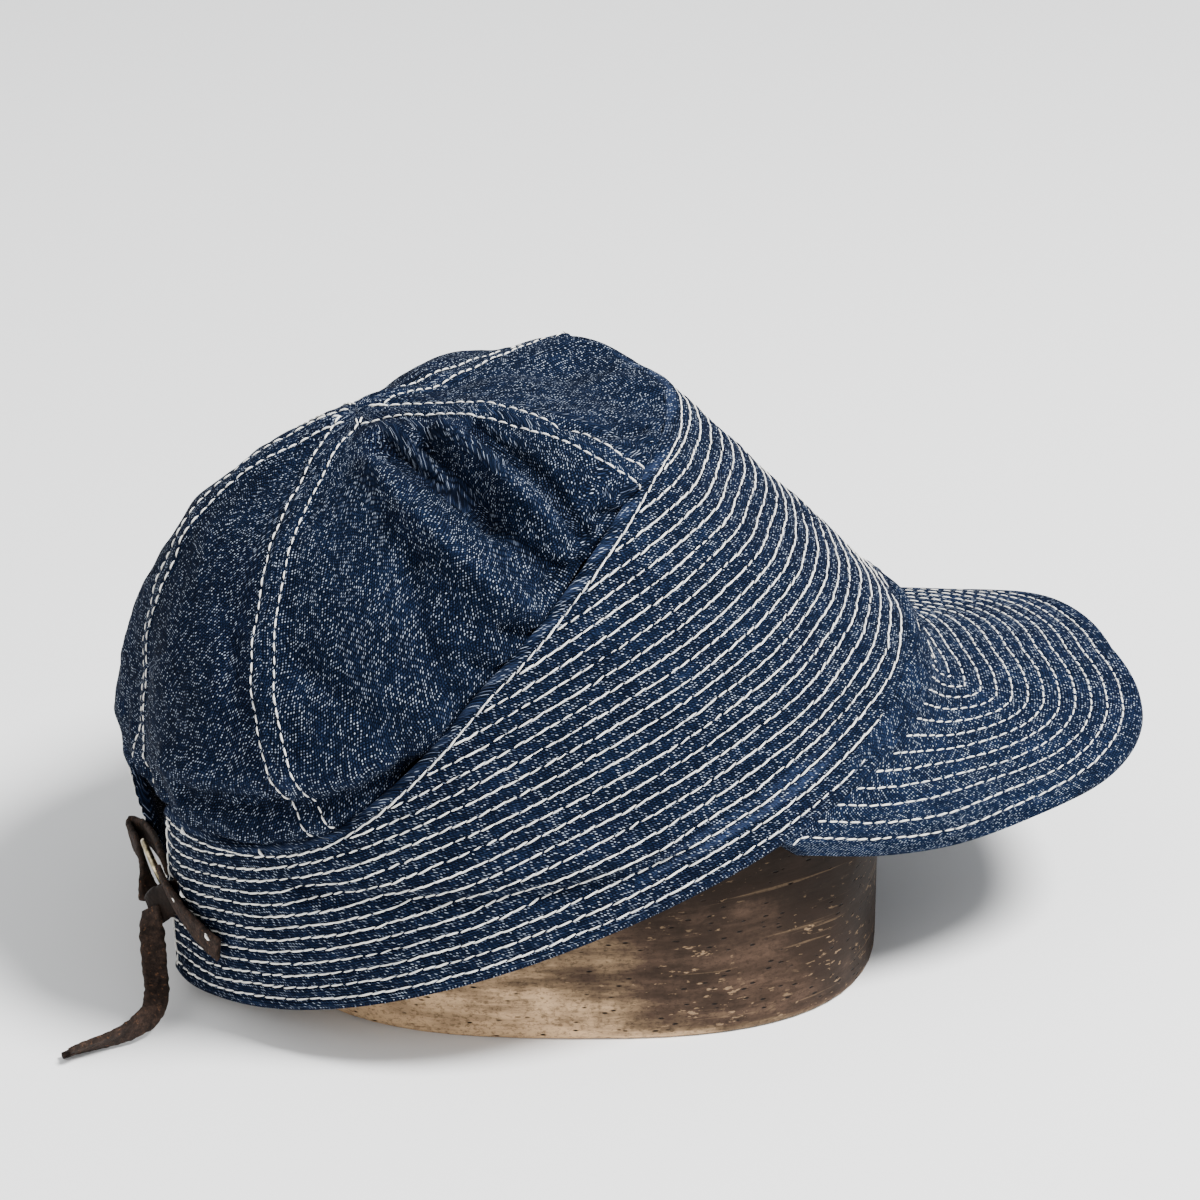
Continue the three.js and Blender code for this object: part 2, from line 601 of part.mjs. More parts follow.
// An upright oval post, cut by the room inside the cap that sits over it.
function blockSolid() {
  const outline = [];
  for (let i = 0; i < BLOCK_STEPS; i += 1) {
    const p = ovalPoint(BLOCK_HALF_LENGTH, BLOCK_HALF_WIDTH, BLOCK_POWER, (i / BLOCK_STEPS) * 360);
    outline.push(new THREE.Vector2(p.x, p.y));
  }
  const height = CAP_HALF_LENGTH + CROWN_HEIGHT;
  const post = new THREE.ExtrudeGeometry(new THREE.Shape(outline), { depth: height, bevelEnabled: false });
  post.rotateZ(rad(BLOCK_TURN));
  return fromManifold(asManifold(post).intersect(asManifold(capRoom())));
}

const colours = { denim: 0x20304f, leather: 0x42302a, metal: 0x8f8464, wood: 0x6d5540 };
const denim = new THREE.MeshStandardMaterial({ color: colours.denim, roughness: 0.9, metalness: 0 });
const leather = new THREE.MeshStandardMaterial({ color: colours.leather, roughness: 0.8, metalness: 0 });
const metal = new THREE.MeshStandardMaterial({ color: colours.metal, roughness: 0.4, metalness: 1 });
const wood = new THREE.MeshStandardMaterial({ color: colours.wood, roughness: 0.6, metalness: 0 });

function piece(name, geometry, material) {
  const mesh = new THREE.Mesh(geometry, material);
  mesh.name = name;
  return mesh;
}

cap.add(piece('band', bandSolid(), denim));
PANELS.forEach((panel) => cap.add(piece(panel.name, panelSolid(panel), denim)));
cap.add(piece('visor', visorSolid(), denim));
cap.add(piece('tab_right', rightTabSolid(), leather));
cap.add(piece('tab_left', leftTabSolid(), leather));
cap.add(piece('lace', laceSolid(), leather));
cap.add(piece('adjuster_ring', ringSolid(), metal));

const model = new THREE.Group();
model.add(cap);
model.add(piece('lace_tail', tailSolid(), leather));
model.add(piece('block', blockSolid(), wood));
export default model;
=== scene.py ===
"""A stitched denim sailor cap resting on its wooden block, in metres, +Z up, the visor towards +X."""

import math

import bmesh
import bpy
import numpy as np
from bpy.props import FloatProperty, FloatVectorProperty, PointerProperty
from mathutils import Matrix, Vector


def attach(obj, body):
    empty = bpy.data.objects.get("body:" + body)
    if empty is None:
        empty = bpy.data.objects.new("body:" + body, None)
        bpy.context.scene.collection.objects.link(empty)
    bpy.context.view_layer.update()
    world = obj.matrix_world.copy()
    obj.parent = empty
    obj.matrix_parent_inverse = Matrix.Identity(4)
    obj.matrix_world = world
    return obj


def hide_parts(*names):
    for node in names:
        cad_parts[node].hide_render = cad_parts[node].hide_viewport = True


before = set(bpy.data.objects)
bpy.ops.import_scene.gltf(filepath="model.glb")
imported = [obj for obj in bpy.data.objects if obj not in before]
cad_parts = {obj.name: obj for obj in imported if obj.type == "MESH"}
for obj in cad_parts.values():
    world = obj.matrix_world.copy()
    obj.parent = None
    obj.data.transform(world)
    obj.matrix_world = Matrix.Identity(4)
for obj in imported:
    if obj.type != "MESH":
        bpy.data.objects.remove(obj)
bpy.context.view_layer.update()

bl_info = {
    "name": "Denim Sailor Cap",
    "version": (1, 0, 0),
    "blender": (4, 5, 0),
    "location": "3D View > Sidebar > Sailor Cap",
    "description": "Models a stitched denim sailor cap on a wooden block",
    "category": "Add Mesh",
}

MM = 0.001
UP = np.array([0, 0, 1.0])

# The cap's form in millimetres, as in the solids
HALF_LENGTH = 103
HALF_WIDTH = 85
OVAL_POWER = 2.15
BAND_HEIGHT = 92
BAND_LEAN = 24
BAND_WALL = 3
BAND_TUCK = 7
RIGHT_END = -166.5
LEFT_END = 175
CROWN_HEIGHT = 110
CROWN_WALL = 2
CROWN_TUCK = 1.3
APEX_BACK = 7
APEX_RADIUS = 0.2
CROWN_REACH = 60
FOLD_DEPTH = 3.5
FOLD_WIDTH = 9
CREASE_MOST = 1.95
VISOR_REACH = 44
VISOR_DROP = 32
VISOR_WALL = 4
VISOR_DIP = 9
VISOR_HALF_ANGLE = 65
CAP_TILT = math.radians(19.67)
CAP_PLACE = np.array([-7.5, 10, 2 + HALF_LENGTH * math.sin(CAP_TILT)])

# The stitch rows in millimetres: how far they lie from the edges and seams, and apart
FIRST_ROW = 3.0
EDGE_ROW = 2.0
VISOR_EDGE_ROW = 4.2
VISOR_PITCH = 3.95
VISOR_ROWS = 16
SEAM_ROW = 3.2
SEAM_STITCH = 3.0
VISOR_STITCH = 3.3

# The ring, the lace, the strips and the knots on them, in millimetres; the ring's rise is a share
RING_RADIUS = 5.8
RING_WIRE = 1.5
RING_RISE = 0.53
RING_STAND_OFF = 1.5
TAIL_WIDTH = 5.0
TAIL_WALL = 1.5
LACE_WALL = 1.7
LEFT_STRAP_WALL = 1.6
RIGHT_STRAP_WALL = 1.4
KNOT_STITCH = 2.2
KNOT_REACH = 1.15

# The denim's pale slubs: their spacing across and along the cloth, in millimetres
SLUB_ACROSS = 0.78
SLUB_ALONG = 0.7


class Table:
    """Rows of named columns, read between the rows on a smooth curve."""

    def __init__(self, names, *rows):
        values = np.array(rows, float).T
        self.where = values[0]
        self.columns = dict(zip(names.split(), values))

    def at(self, name, where):
        x, y = self.where, self.columns[name]
        slope = np.empty_like(y)
        slope[1:-1] = (y[2:] - y[:-2]) / (x[2:] - x[:-2])
        slope[0] = (y[1] - y[0]) / (x[1] - x[0])
        slope[-1] = (y[-1] - y[-2]) / (x[-1] - x[-2])
        k = np.clip(np.searchsorted(x, where) - 1, 0, len(x) - 2)
        span = x[k + 1] - x[k]
        t = np.clip((where - x[k]) / span, 0, 1)
        return (y[k] * (2 * t**3 - 3 * t**2 + 1) + slope[k] * span * (t**3 - 2 * t**2 + t)
                + y[k + 1] * (3 * t**2 - 2 * t**3) + slope[k + 1] * span * (t**3 - t**2))

    def point(self, where):
        return stack(self.at("x", where), self.at("y", where), self.at("z", where))


# Angles run round the cap in degrees from the front, minus to the wearer's right; the rest are shares.
BAND = Table(
    "angle height lean tuck",
    (-180, 0.465, 0.45, 0.7), (-166, 0.47, 0.8, 0), (-150, 0.47, 0.65, 0), (-130, 0.46, 0.45, 0),
    (-118, 0.49, 0.35, 0), (-104, 0.6, 0.3, 0), (-88, 0.77, 0.35, 0), (-68, 0.93, 0.5, 0),
    (-50, 1, 0.72, 0), (-25, 1, 0.97, 0), (0, 1, 1, 0), (25, 1, 1, 0), (50, 1, 0.8, 0),
    (68, 0.93, 0.6, 0), (88, 0.77, 0.4, 0), (104, 0.6, 0.3, 0), (118, 0.49, 0.3, 0),
    (130, 0.46, 0.3, 0), (150, 0.46, 0.25, 0.2), (168, 0.46, 0.2, 0.7), (175, 0.46, 0.25, 0.9),
    (180, 0.465, 0.45, 0.7),
)
CROWN = Table(
    "angle out rise top",
    (-180, -15, 0.7, 0.85), (-165, -5, 0.65, 0.88), (-150, 12, 0.6, 0.82), (-120, 20, 0.65, 0.75),
    (-90, 5, 0.5, 0.6), (-60, -15, 0.35, 0.5), (-30, -40, 0.3, 0.35), (0, -55, 0.3, 0.3),
    (30, -60, 0.3, 0.15), (60, -45, 0.3, 0.15), (90, -25, 0.4, 0.25), (120, -12, 0.5, 0.35),
    (150, -12, 0.65, 0.65), (180, -15, 0.7, 0.85),
)
SEAMS = Table(
    "rise right_back right_front left_front left_back back",
    (0, -120, -56, 55, 121, 183), (0.25, -123, -57, 54, 123, 189), (0.5, -125, -54.5, 49.5, 124, 183),
    (0.75, -126, -50.5, 44, 123, 175), (1, -128, -40, 40, 118, 177),
)
SEAM_NAMES = ("right_back", "right_front", "left_front", "left_back", "back")
PANELS = (
    ("right", "right_back", "right_front"), ("front", "right_front", "left_front"),
    ("left", "left_front", "left_back"), ("back_left", "left_back", "back"),
    ("back_right", "back", "right_back"),
)
VISOR = Table(
    "side reach tuck drop",
    (0, 1, 0, 1), (0.23, 1.045, 0, 1.01), (0.46, 1.095, 0.04, 1.015), (0.62, 1.08, 0.07, 1),
    (0.74, 1.01, 0.105, 0.96), (0.83, 0.845, 0.125, 0.89), (0.89, 0.6, 0.14, 0.79),
    (0.95, 0.34, 0.105, 0.54), (1, 0.09, 0.015, 0.18),
)
# The pitch of the stitch rows round the band, in millimetres
ROW_PITCH = Table(
    "angle pitch",
    (-180, 2.95), (-150, 3.0), (-125, 3.2), (-100, 3.65), (-75, 3.95), (-40, 3.9), (0, 3.8),
    (40, 3.9), (75, 3.95), (100, 3.65), (125, 3.2), (150, 3.0), (180, 2.95),
)

# Folds: depth as a share of FOLD_DEPTH (minus stands out), width as a share of FOLD_WIDTH, then the
# places that each runs through, by angle and by share of the way up.
CROWN_FOLDS = (
    (0.9, 0.7, (-87, 0.8), (-82, 0.4)),
    (1, 0.8, (-82, 0.4), (-77.5, 0.06)),
    (0.6, 0.7, (-73.5, 0.74), (-80, 0.46)),
    (0.9, 0.8, (-66, 0.5), (-71, 0.08)),
    (-0.5, 0.9, (-88, 0.5), (-87, 0.2)),
    (0.7, 0.9, (-95, 0.45), (-96, 0.08)),
    (0.5, 1, (-117, 0.41), (-107, 0.19)),
    (0.8, 0.7, (-134, 0.16), (-106, 0.03)),
    (0.4, 1.2, (-134, 0.5), (-131, 0.38)),
    (0.6, 0.9, (-52, 0.36), (-34, 0.07)),
    (0.6, 1, (-13, 0.2), (10, 0.3)),
    (0.8, 1.2, (50, 0.6), (60, 0.2)),
    (0.8, 1.3, (90, 0.7), (84, 0.2)),
    (0.5, 1.3, (118, 0.5), (112, 0.15)),
    (0.5, 1.4, (158, 0.5), (150, 0.2)),
)
# The fine creases in the bottom of the folds, in the same shares
CROWN_CREASES = (
    (0.95, 0.21, (-87.5, 0.84), (-86, 0.7), (-83.5, 0.57), (-81.5, 0.36), (-79.5, 0.19), (-77.5, 0.07)),
    (-0.8, 0.4, (-94, 0.78), (-91.5, 0.57), (-88.5, 0.36), (-86.5, 0.19), (-84, 0.1)),
    (0.7, 0.22, (-73.5, 0.74), (-77, 0.64), (-79, 0.585), (-80.5, 0.455)),
    (0.95, 0.2, (-62.5, 0.62), (-66.5, 0.47), (-69.5, 0.31), (-71, 0.195), (-71, 0.07)),
    (-0.75, 0.35, (-68, 0.7), (-72.5, 0.5), (-75, 0.33), (-75, 0.2)),
    (0.3, 0.22, (-93.5, 0.84), (-90, 0.76)),
    (0.3, 0.3, (-95, 0.445), (-97, 0.3), (-95.5, 0.075)),
    (0.3, 0.3, (-117, 0.41), (-112, 0.305), (-107, 0.19)),
    (0.7, 0.3, (-146, 0.13), (-133.5, 0.125), (-123, 0.09), (-111, 0.04), (-104.5, 0.012)),
    (-0.6, 0.5, (-150, 0.2), (-134, 0.2), (-118, 0.15), (-108, 0.09)),
    (0.45, 0.18, (-87.5, 0.1), (-84.5, 0.01)),
    (0.35, 0.16, (-80, 0.07), (-74, 0.015)),
    (0.4, 0.16, (-92, 0.08), (-89.5, 0.01)),
    (0.35, 0.15, (-68, 0.09), (-64, 0.01)),
    (0.4, 0.25, (-52, 0.36), (-48.5, 0.205), (-33, 0.06)),
    (0.3, 0.3, (-134, 0.485), (-131, 0.4)),
    (0.5, 0.6, (-110, 0.95), (-60, 0.93)),
)
BAND_FOLDS = (
    (0.5, 0.3, (-128, 0.73), (-115, 0.572), (-105, 0.377), (-97.6, 0.27), (-91, 0.19), (-79, 0.12)),
    (-0.35, 0.6, (-118, 0.68), (-104, 0.46), (-92, 0.29), (-80, 0.19)),
    (0.2, 0.5, (-60, 0.16), (-40, 0.13)),
)

# The lace's free end, from the ring down to the surface and along it, in millimetres
TAIL_ROUTE = (
    (-107.4, -11.2, 20.5), (-107.8, -14.3, 18), (-108, -17.8, 15.4), (-108.1, -20.7, 13),
    (-108.3, -23.6, 10.5), (-108.4, -27.4, 8.5), (-109.2, -31.9, 7), (-111.1, -36, 5.6),
    (-113.9, -38.5, 4.8), (-117.2, -40.3, 4.1), (-121, -41.6, 3.5), (-124.6, -42.2, 3),
    (-128.5, -43, 2.7), (-132.2, -44.6, 2.5),
)
# The routes of the leather strips in millimetres, and the direction of each one's width along it
TAIL_WIDTH_WAY = Table(
    "share x y z", (0, -0.45, 0.85, -0.2), (0.12, -0.85, 0.45, 0.05), (0.27, -0.98, 0.2, 0.1),
    (0.45, -0.9, 0.2, 0.35), (0.6, -0.35, 0.1, 0.9), (0.78, 0.05, -0.45, 0.85), (1, 0, -0.8, 0.6),
)
LACE_ROUTE = Table(
    "share x y z", (0, -99.6, -17.6, 27.2), (0.33, -102.2, -15, 25), (0.66, -104.9, -12.3, 22.4),
    (1, -107.3, -11.1, 19.8),
)
LACE_WIDTH_WAY = Table(
    "share x y z", (0, 0, 0, 1), (0.4, -0.05, 0.1, 1), (0.75, -0.3, 0.5, 0.8), (1, -0.45, 0.85, 0.2),
)
LEFT_STRAP_ROUTE = Table(
    "share x y z", (0, -106.4, -3.5, 18.6), (0.17, -106.6, 1.5, 21.4), (0.33, -106.9, 7, 23),
    (0.46, -107.4, 14, 24), (0.54, -108.2, 22, 23.4), (0.58, -107.4, 24.5, 23.8), (0.64, -105, 20, 25),
    (0.78, -103.4, 9, 27.2), (0.9, -103, -1, 29.2), (1, -103, -7, 30.2),
)
LEFT_STRAP_WIDTH_WAY = Table(
    "share x y z", (0, -0.3, 0.75, 0.55), (0.45, -0.2, 0.5, 0.85), (0.6, -0.2, 0.1, 1), (1, -0.3, -0.1, 1),
)
RIGHT_STRAP_WIDTH_WAY = Table("share x y z", (0, -0.3, 0.1, 1), (1, -0.3, 0.35, 0.9))

# The knots on the strips: angle, share of the band's height, and how far they stand off it
KNOTS = (
    (-154.5, 0.66, 3.7), (-157.7, 0.6, 3.7), (-154.8, 0.45, 2.1), (-148.6, 0.45, 3.7), (-164.2, 0.94, 0.2),
    (-155.1, 0.98, 0.2), (-132.9, 0.985, 0.2),
)


def stack(x, y, z):
    return np.stack(np.broadcast_arrays(x, y, z), -1).astype(float)


def unit(v):
    return v / np.maximum(np.linalg.norm(v, axis=-1, keepdims=True), 1e-9)


def smooth(t):
    t = np.clip(t, 0, 1)
    return t * t * (3 - 2 * t)


def ripples(points, size, seed, waves=10):
    """A smooth random field, about -1 to 1, with swells of about that size."""
    rng = np.random.default_rng(seed)
    total = 0
    for _ in range(waves):
        way = unit(rng.normal(size=3)) * 2 * math.pi / size * rng.uniform(0.6, 1.4)
        total = total + np.sin(points @ way + rng.uniform(0, 6.28))
    return total / math.sqrt(waves)


def oval(angle):
    c, s = np.cos(np.radians(angle)), np.sin(np.radians(angle))
    return (np.sign(c) * np.abs(c) ** (2 / OVAL_POWER) * HALF_LENGTH,
            np.sign(s) * np.abs(s) ** (2 / OVAL_POWER) * HALF_WIDTH)


def outward(angle):
    x, y = oval(angle)
    power = OVAL_POWER - 1
    return unit(stack(np.sign(x) * (np.abs(x) / HALF_LENGTH) ** power / HALF_LENGTH,
                      np.sign(y) * (np.abs(y) / HALF_WIDTH) ** power / HALF_WIDTH, 0))


def wrapped(angle):
    return (np.asarray(angle, float) + 180) % 360 - 180


def to_world(points):
    """From the tilted cap's own millimetres to the scene's metres."""
    c, s = math.cos(CAP_TILT), math.sin(CAP_TILT)
    x, y, z = points[..., 0], points[..., 1], points[..., 2]
    return (stack(x * c - z * s, y, x * s + z * c) + CAP_PLACE) * MM


def press(points, folds, place):
    """How deep folds press in at points, each along a line through several places."""
    depth = 0
    for deep, wide, *spots in folds:
        angles, shares = np.array(spots, float).T
        line = place(angles, shares)
        away = np.inf
        for p, q in zip(line, line[1:]):
            along = q - p
            t = np.clip(((points - p) @ along) / (along @ along), 0, 1)
            away = np.minimum(away, np.linalg.norm(points - p - t[..., None] * along, axis=-1))
        depth = depth + deep * FOLD_DEPTH * np.exp(-((away / (wide * FOLD_WIDTH)) ** 2))
    return depth


def band_height(angle):
    return BAND.at("height", wrapped(angle)) * BAND_HEIGHT


def band_smooth(angle, share, depth=0.0):
    a = wrapped(angle)
    lean = np.radians(BAND.at("lean", a) * BAND_LEAN)
    x, y = oval(a)
    up = band_height(a) * share
    in_by = BAND.at("tuck", a) * BAND_TUCK + depth + up * np.sin(lean)
    return stack(x, y, up * np.cos(lean)) - outward(a) * np.asarray(in_by)[..., None]


def band_normal(angle):
    lean = np.radians(BAND.at("lean", wrapped(angle)) * BAND_LEAN)
    return outward(angle) * np.cos(lean)[..., None] + UP * np.sin(lean)[..., None]


def quilted(rows):
    """How proud the cloth stands between stitch rows, 0 on a row and 1 midway."""
    return np.abs(np.sin(math.pi * rows)) ** 0.6


def band_point(angle, share, depth=0.0):
    """The band's cloth, quilted between its stitch rows, at a depth under its outside."""
    a = wrapped(angle)
    height = band_height(a)
    base = band_smooth(a, share)
    low, high = height * share, height * (1 - share)
    puff = quilted((low - FIRST_ROW) / ROW_PITCH.at("pitch", a)) * smooth((high - EDGE_ROW) / 1.5)
    puff = puff * smooth(low / FIRST_ROW) * (0.75 + 0.5 * ripples(base, 14, 5))
    roll = sum(np.sin(math.pi * np.clip(part, 0, 1)) for part in (high / EDGE_ROW, low / FIRST_ROW))
    raised = (puff + roll) * bpy.context.scene.cap_cloth.quilting / MM
    waves = 0.35 * ripples(base, 26, 3) * smooth(np.minimum(low, high) / 8)
    pucker = 0.12 * ripples(base * np.array([1, 1, 0.3]), 2.6, 4) * smooth(low / 2) * smooth(high / 2)
    skin = np.clip(1 - np.asarray(depth) / BAND_WALL, 0, 1)
    sunk = depth + (0.3 - raised - waves - pucker + press(base, BAND_FOLDS, band_smooth)) * skin
    return band_smooth(a, share, sunk)


def band_wear_and_shade(angle, share):
    """Where the band's dye is rubbed off, on its top rim and on a ridge above the visor's near end, with
    painted shade in the valleys along the stitch rows and painted light on the puffs between them.
    """
    a = wrapped(angle)
    low, high = band_height(a) * share, band_height(a) * (1 - share)
    rim = 1 - smooth(high / EDGE_ROW)
    ridge = np.exp(-(((low - 10.5) / 2.6) ** 2)) * smooth((a + 88) / 10) * smooth((-44 - a) / 12)
    hem = (1 - smooth(low / FIRST_ROW)) * 0.35
    # Painted shade in the valleys along the stitch rows, painted light on the quilted puffs between them.
    painted_quilt_shading = quilted((low - FIRST_ROW) / ROW_PITCH.at("pitch", a)) * 1.1 - 0.75
    return np.clip(rim * 0.4 + ridge * 0.55 + hem * 0.5 + painted_quilt_shading, -1, 1)


def crown_smooth(angle, rise):
    a = wrapped(angle)
    rise = np.asarray(rise, float)
    start = band_smooth(a, 1, (BAND_WALL - CROWN_WALL) / 2)
    apex = np.array([-APEX_BACK, 0, CROWN_HEIGHT], float)
    flat = unit((start - apex) * np.array([1, 1, 0]))
    turn = np.radians(CROWN.at("out", a))
    low = CROWN.at("rise", a) * CROWN_REACH
    top = CROWN.at("top", a) * CROWN_REACH
    bend1 = start + flat * (np.sin(turn) * low)[..., None] + UP * (np.cos(turn) * low)[..., None]
    end = apex + flat * APEX_RADIUS
    bend2 = end + flat * top[..., None]
    t = rise[..., None]
    return start * (1 - t) ** 3 + bend1 * 3 * t * (1 - t) ** 2 + bend2 * 3 * t**2 * (1 - t) + end * t**3


def crown_across(angle, rise):
    """The step along the crown for one degree round it."""
    return crown_smooth(angle + 0.5, rise) - crown_smooth(angle - 0.5, rise)


def crown_normal(angle, rise):
    step = 0.01
    rising = crown_smooth(angle, np.minimum(rise + step, 1)) - crown_smooth(angle, np.maximum(rise - step, 0))
    normal = unit(np.cross(crown_across(angle, rise), rising))
    mix = smooth(np.asarray(rise) / 0.15)[..., None]
    return unit(outward(wrapped(angle)) * (1 - mix) + normal * mix)


def seam_distance(angle, rise):
    """The distance of places on the crown from the nearest seam, in millimetres."""
    degree = np.linalg.norm(crown_across(angle, rise), axis=-1)
    return np.min([np.abs(wrapped(angle - SEAMS.at(name, rise))) * degree for name in SEAM_NAMES], axis=0)


def crown_point(angle, rise, depth=0.0):
    """The crown's cloth with its folds and felled seams, at a depth under its outside."""
    angle, rise = np.broadcast_arrays(np.asarray(angle, float), np.asarray(rise, float))
    base = crown_smooth(angle, rise)
    skin = np.clip(1 - np.asarray(depth) / CROWN_WALL, 0, 1)
    creases = press(base, CROWN_CREASES, crown_smooth)
    folds = press(base, CROWN_FOLDS, crown_smooth) * 0.9 + np.minimum(creases * 1.15, CREASE_MOST) * skin
    gather = 0.95 * ripples(base * np.array([1, 1, 0.35]), 8, 11)
    gather = gather * smooth(1 - rise / 0.2) * smooth(rise / 0.03)
    slack = 0.6 * ripples(base, 34, 7) + 0.3 * ripples(base, 15, 8) + 0.12 * ripples(base, 6, 9)
    slack = slack * smooth(rise / 0.1) * smooth((1 - rise) / 0.12)
    tucked = CROWN_TUCK * (1 - smooth(rise / 0.03))
    away = seam_distance(angle, rise)
    felled = 0.6 * (1 - smooth((away - SEAM_ROW - 0.4) / 1.1))
    felled = felled - 0.35 * np.exp(-(((away - SEAM_ROW) / 0.6) ** 2))
    sunk = depth + folds + gather + slack + tucked - felled * smooth((1 - rise) / 0.03)
    return base - crown_normal(angle, rise) * sunk[..., None]


def visor_smooth(side, reach):
    share = np.abs(side)
    angle = np.asarray(side) * VISOR_HALF_ANGLE
    x, y = oval(angle)
    root = stack(x, y, -0.3) - outward(angle) * 0.3
    rim = root + stack(VISOR.at("reach", share) * VISOR_REACH,
                       -np.sign(side) * VISOR.at("tuck", share) * VISOR_REACH,
                       -VISOR.at("drop", share) * VISOR_DROP)
    t = np.asarray(reach, float)[..., None]
    p = root * (1 - t) + rim * t
    p[..., 2] -= VISOR_DIP * np.sin(math.pi * np.cbrt(reach)) * (1 - share**4)
    return p


def visor_normal(side, reach):
    step = 0.01
    across = visor_smooth(np.minimum(side + step, 1), reach)
    across = across - visor_smooth(np.maximum(side - step, -1), reach)
    out = visor_smooth(side, np.minimum(reach + step, 1)) - visor_smooth(side, np.maximum(reach - step, 0))
    return -unit(np.cross(across, out))


VISOR_RIM = visor_smooth(np.linspace(-1, 1, 400), np.ones(400))
# Shares of the visor's reach, closer together by the root, where it drops steeply
VISOR_SHARES = np.concatenate([np.linspace(0, 0.3, 14)[:-1] ** 3, np.linspace(0.027, 1, 124)])


def rim_distance(points):
    """The distance of points of the visor from its outer edge."""
    flat = points.reshape(-1, 3)
    best = np.full(len(flat), np.inf)
    for part in np.split(VISOR_RIM, 8):
        best = np.minimum(best, np.linalg.norm(flat[:, None] - part[None], axis=2).min(1))
    return best.reshape(points.shape[:-1])


def visor_point(side, reach, depth=0.0):
    base = visor_smooth(side, reach)
    away = rim_distance(base)
    puff = np.where(away < VISOR_EDGE_ROW, 1.4 * smooth((VISOR_EDGE_ROW - away) / 1.4),
                    quilted((away - VISOR_EDGE_ROW) / VISOR_PITCH))
    raised = puff * bpy.context.scene.cap_cloth.quilting / MM
    skin = np.clip(1 - np.asarray(depth) / VISOR_WALL, 0, 1)
    waves = 0.3 * ripples(base, 30, 21) * smooth(away / 6)
    sunk = np.asarray(depth) + (0.3 - raised - waves) * skin
    return base - visor_normal(side, np.clip(reach, 0, 1)) * sunk[..., None]


def profile(shares, wall, inner_rows, bulge=0.0, rim_steps=4):
    """The section of a wall as shares along its height and depths, round both rims and back."""
    turns = np.arange(1, rim_steps + 1) / (rim_steps + 1)
    outer = [(v, 0.0) for v in shares]
    top = [(1 + bulge * math.sin(math.pi * t), wall * t) for t in turns]
    inner = [(v, wall) for v in np.linspace(1, 0, inner_rows + 1)]
    foot = [(-bulge * math.sin(math.pi * t), wall * (1 - t)) for t in turns]
    return np.array(outer + top + inner + foot + [(0.0, 0.0)])


def run_length(points, axis):
    steps = np.linalg.norm(np.diff(points, axis=axis), axis=-1) / MM
    return np.insert(np.cumsum(steps, axis=axis), 0, 0, axis=axis)


def made_mesh(name, bm):
    mesh = bpy.data.meshes.new(name)
    bm.to_mesh(mesh)
    bm.free()
    return mesh


def facing(place, way, axis="Z"):
    """The matrix that puts a thing at a place with its axis along a way."""
    return Matrix.Translation(place) @ Vector(way).to_track_quat(axis, "Y").to_matrix().to_4x4()


def link_piece(name, mesh):
    piece = bpy.data.objects.new(name, mesh)
    bpy.context.scene.collection.objects.link(piece)
    return piece


def sheet(name, columns, section, place):
    """A closed wall: place gives points, and wear and painted shade, for shares along it and the section's
    shares and depths.
    """
    rows = len(section) - 1
    u = np.linspace(0, 1, columns + 1)[:, None]
    points, wear_and_shade_amount = place(u, section[None, :, 0], section[None, :, 1])
    along = run_length(points, 0)
    up = run_length(points, 1)
    bm = bmesh.new()
    bmesh.ops.create_grid(bm, x_segments=columns, y_segments=rows, size=0.5)
    grid = np.array([v.co for v in bm.verts]) + 0.5
    i = np.rint(grid[:, 0] * columns).astype(int)
    j = np.rint(grid[:, 1] * rows).astype(int)
    mesh = made_mesh(name, bm)
    mesh.vertices.foreach_set("co", points[i, j].ravel())
    # The attribute holds each place's wear, and the shade painted into creases and quilting valleys.
    worn = mesh.attributes.new("worn", "FLOAT", "POINT")
    worn.data.foreach_set("value", np.broadcast_to(wear_and_shade_amount, along.shape)[i, j].astype(np.float32))
    corners = np.empty(len(mesh.loops), int)
    mesh.loops.foreach_get("vertex_index", corners)
    uv = np.stack([(along - along[columns // 2])[i, j], up[i, j]], 1)[corners]
    mesh.uv_layers.new(name="UVMap").data.foreach_set("uv", uv.ravel().astype(np.float32))
    bm = bmesh.new()
    bm.from_mesh(mesh)
    bmesh.ops.remove_doubles(bm, verts=bm.verts, dist=1e-6)
    rim = [e for e in bm.edges if e.is_boundary]
    if rim:
        bmesh.ops.holes_fill(bm, edges=rim, sides=0)
    bmesh.ops.recalc_face_normals(bm, faces=bm.faces)
    for face in bm.faces:
        face.smooth = True
    bm.to_mesh(mesh)
    bm.free()
    return link_piece(name, mesh)


def stitch_template(length, width, sides=5, steps=4):
    """One stitch along X, its ends sunk into the cloth, as a mesh's points and faces."""
    bm = bmesh.new()
    bmesh.ops.create_cone(bm, cap_ends=True, segments=sides, radius1=0.5, radius2=0.5, depth=1)
    bmesh.ops.rotate(bm, verts=bm.verts, cent=(0, 0, 0), matrix=Matrix.Rotation(math.pi / 2, 3, "Y"))
    for x in np.linspace(-0.5, 0.5, steps + 1)[1:-1]:
        bmesh.ops.bisect_plane(bm, geom=bm.verts[:] + bm.edges[:] + bm.faces[:],
                               plane_co=(x, 0, 0), plane_no=(1, 0, 0))
    for v in bm.verts:
        t = abs(v.co.x) * 2
        thin = math.sqrt(max(0.0, 1 - t**3)) * 0.65 + 0.35
        sink = 0.5 * width * t**3
        v.co = Vector((v.co.x * length, v.co.y * width * thin, v.co.z * width * thin - sink))
    points = np.array([v.co for v in bm.verts])
    bm.verts.index_update()
    faces = [[v.index for v in f.verts] for f in bm.faces]
    bm.free()
    return points, faces


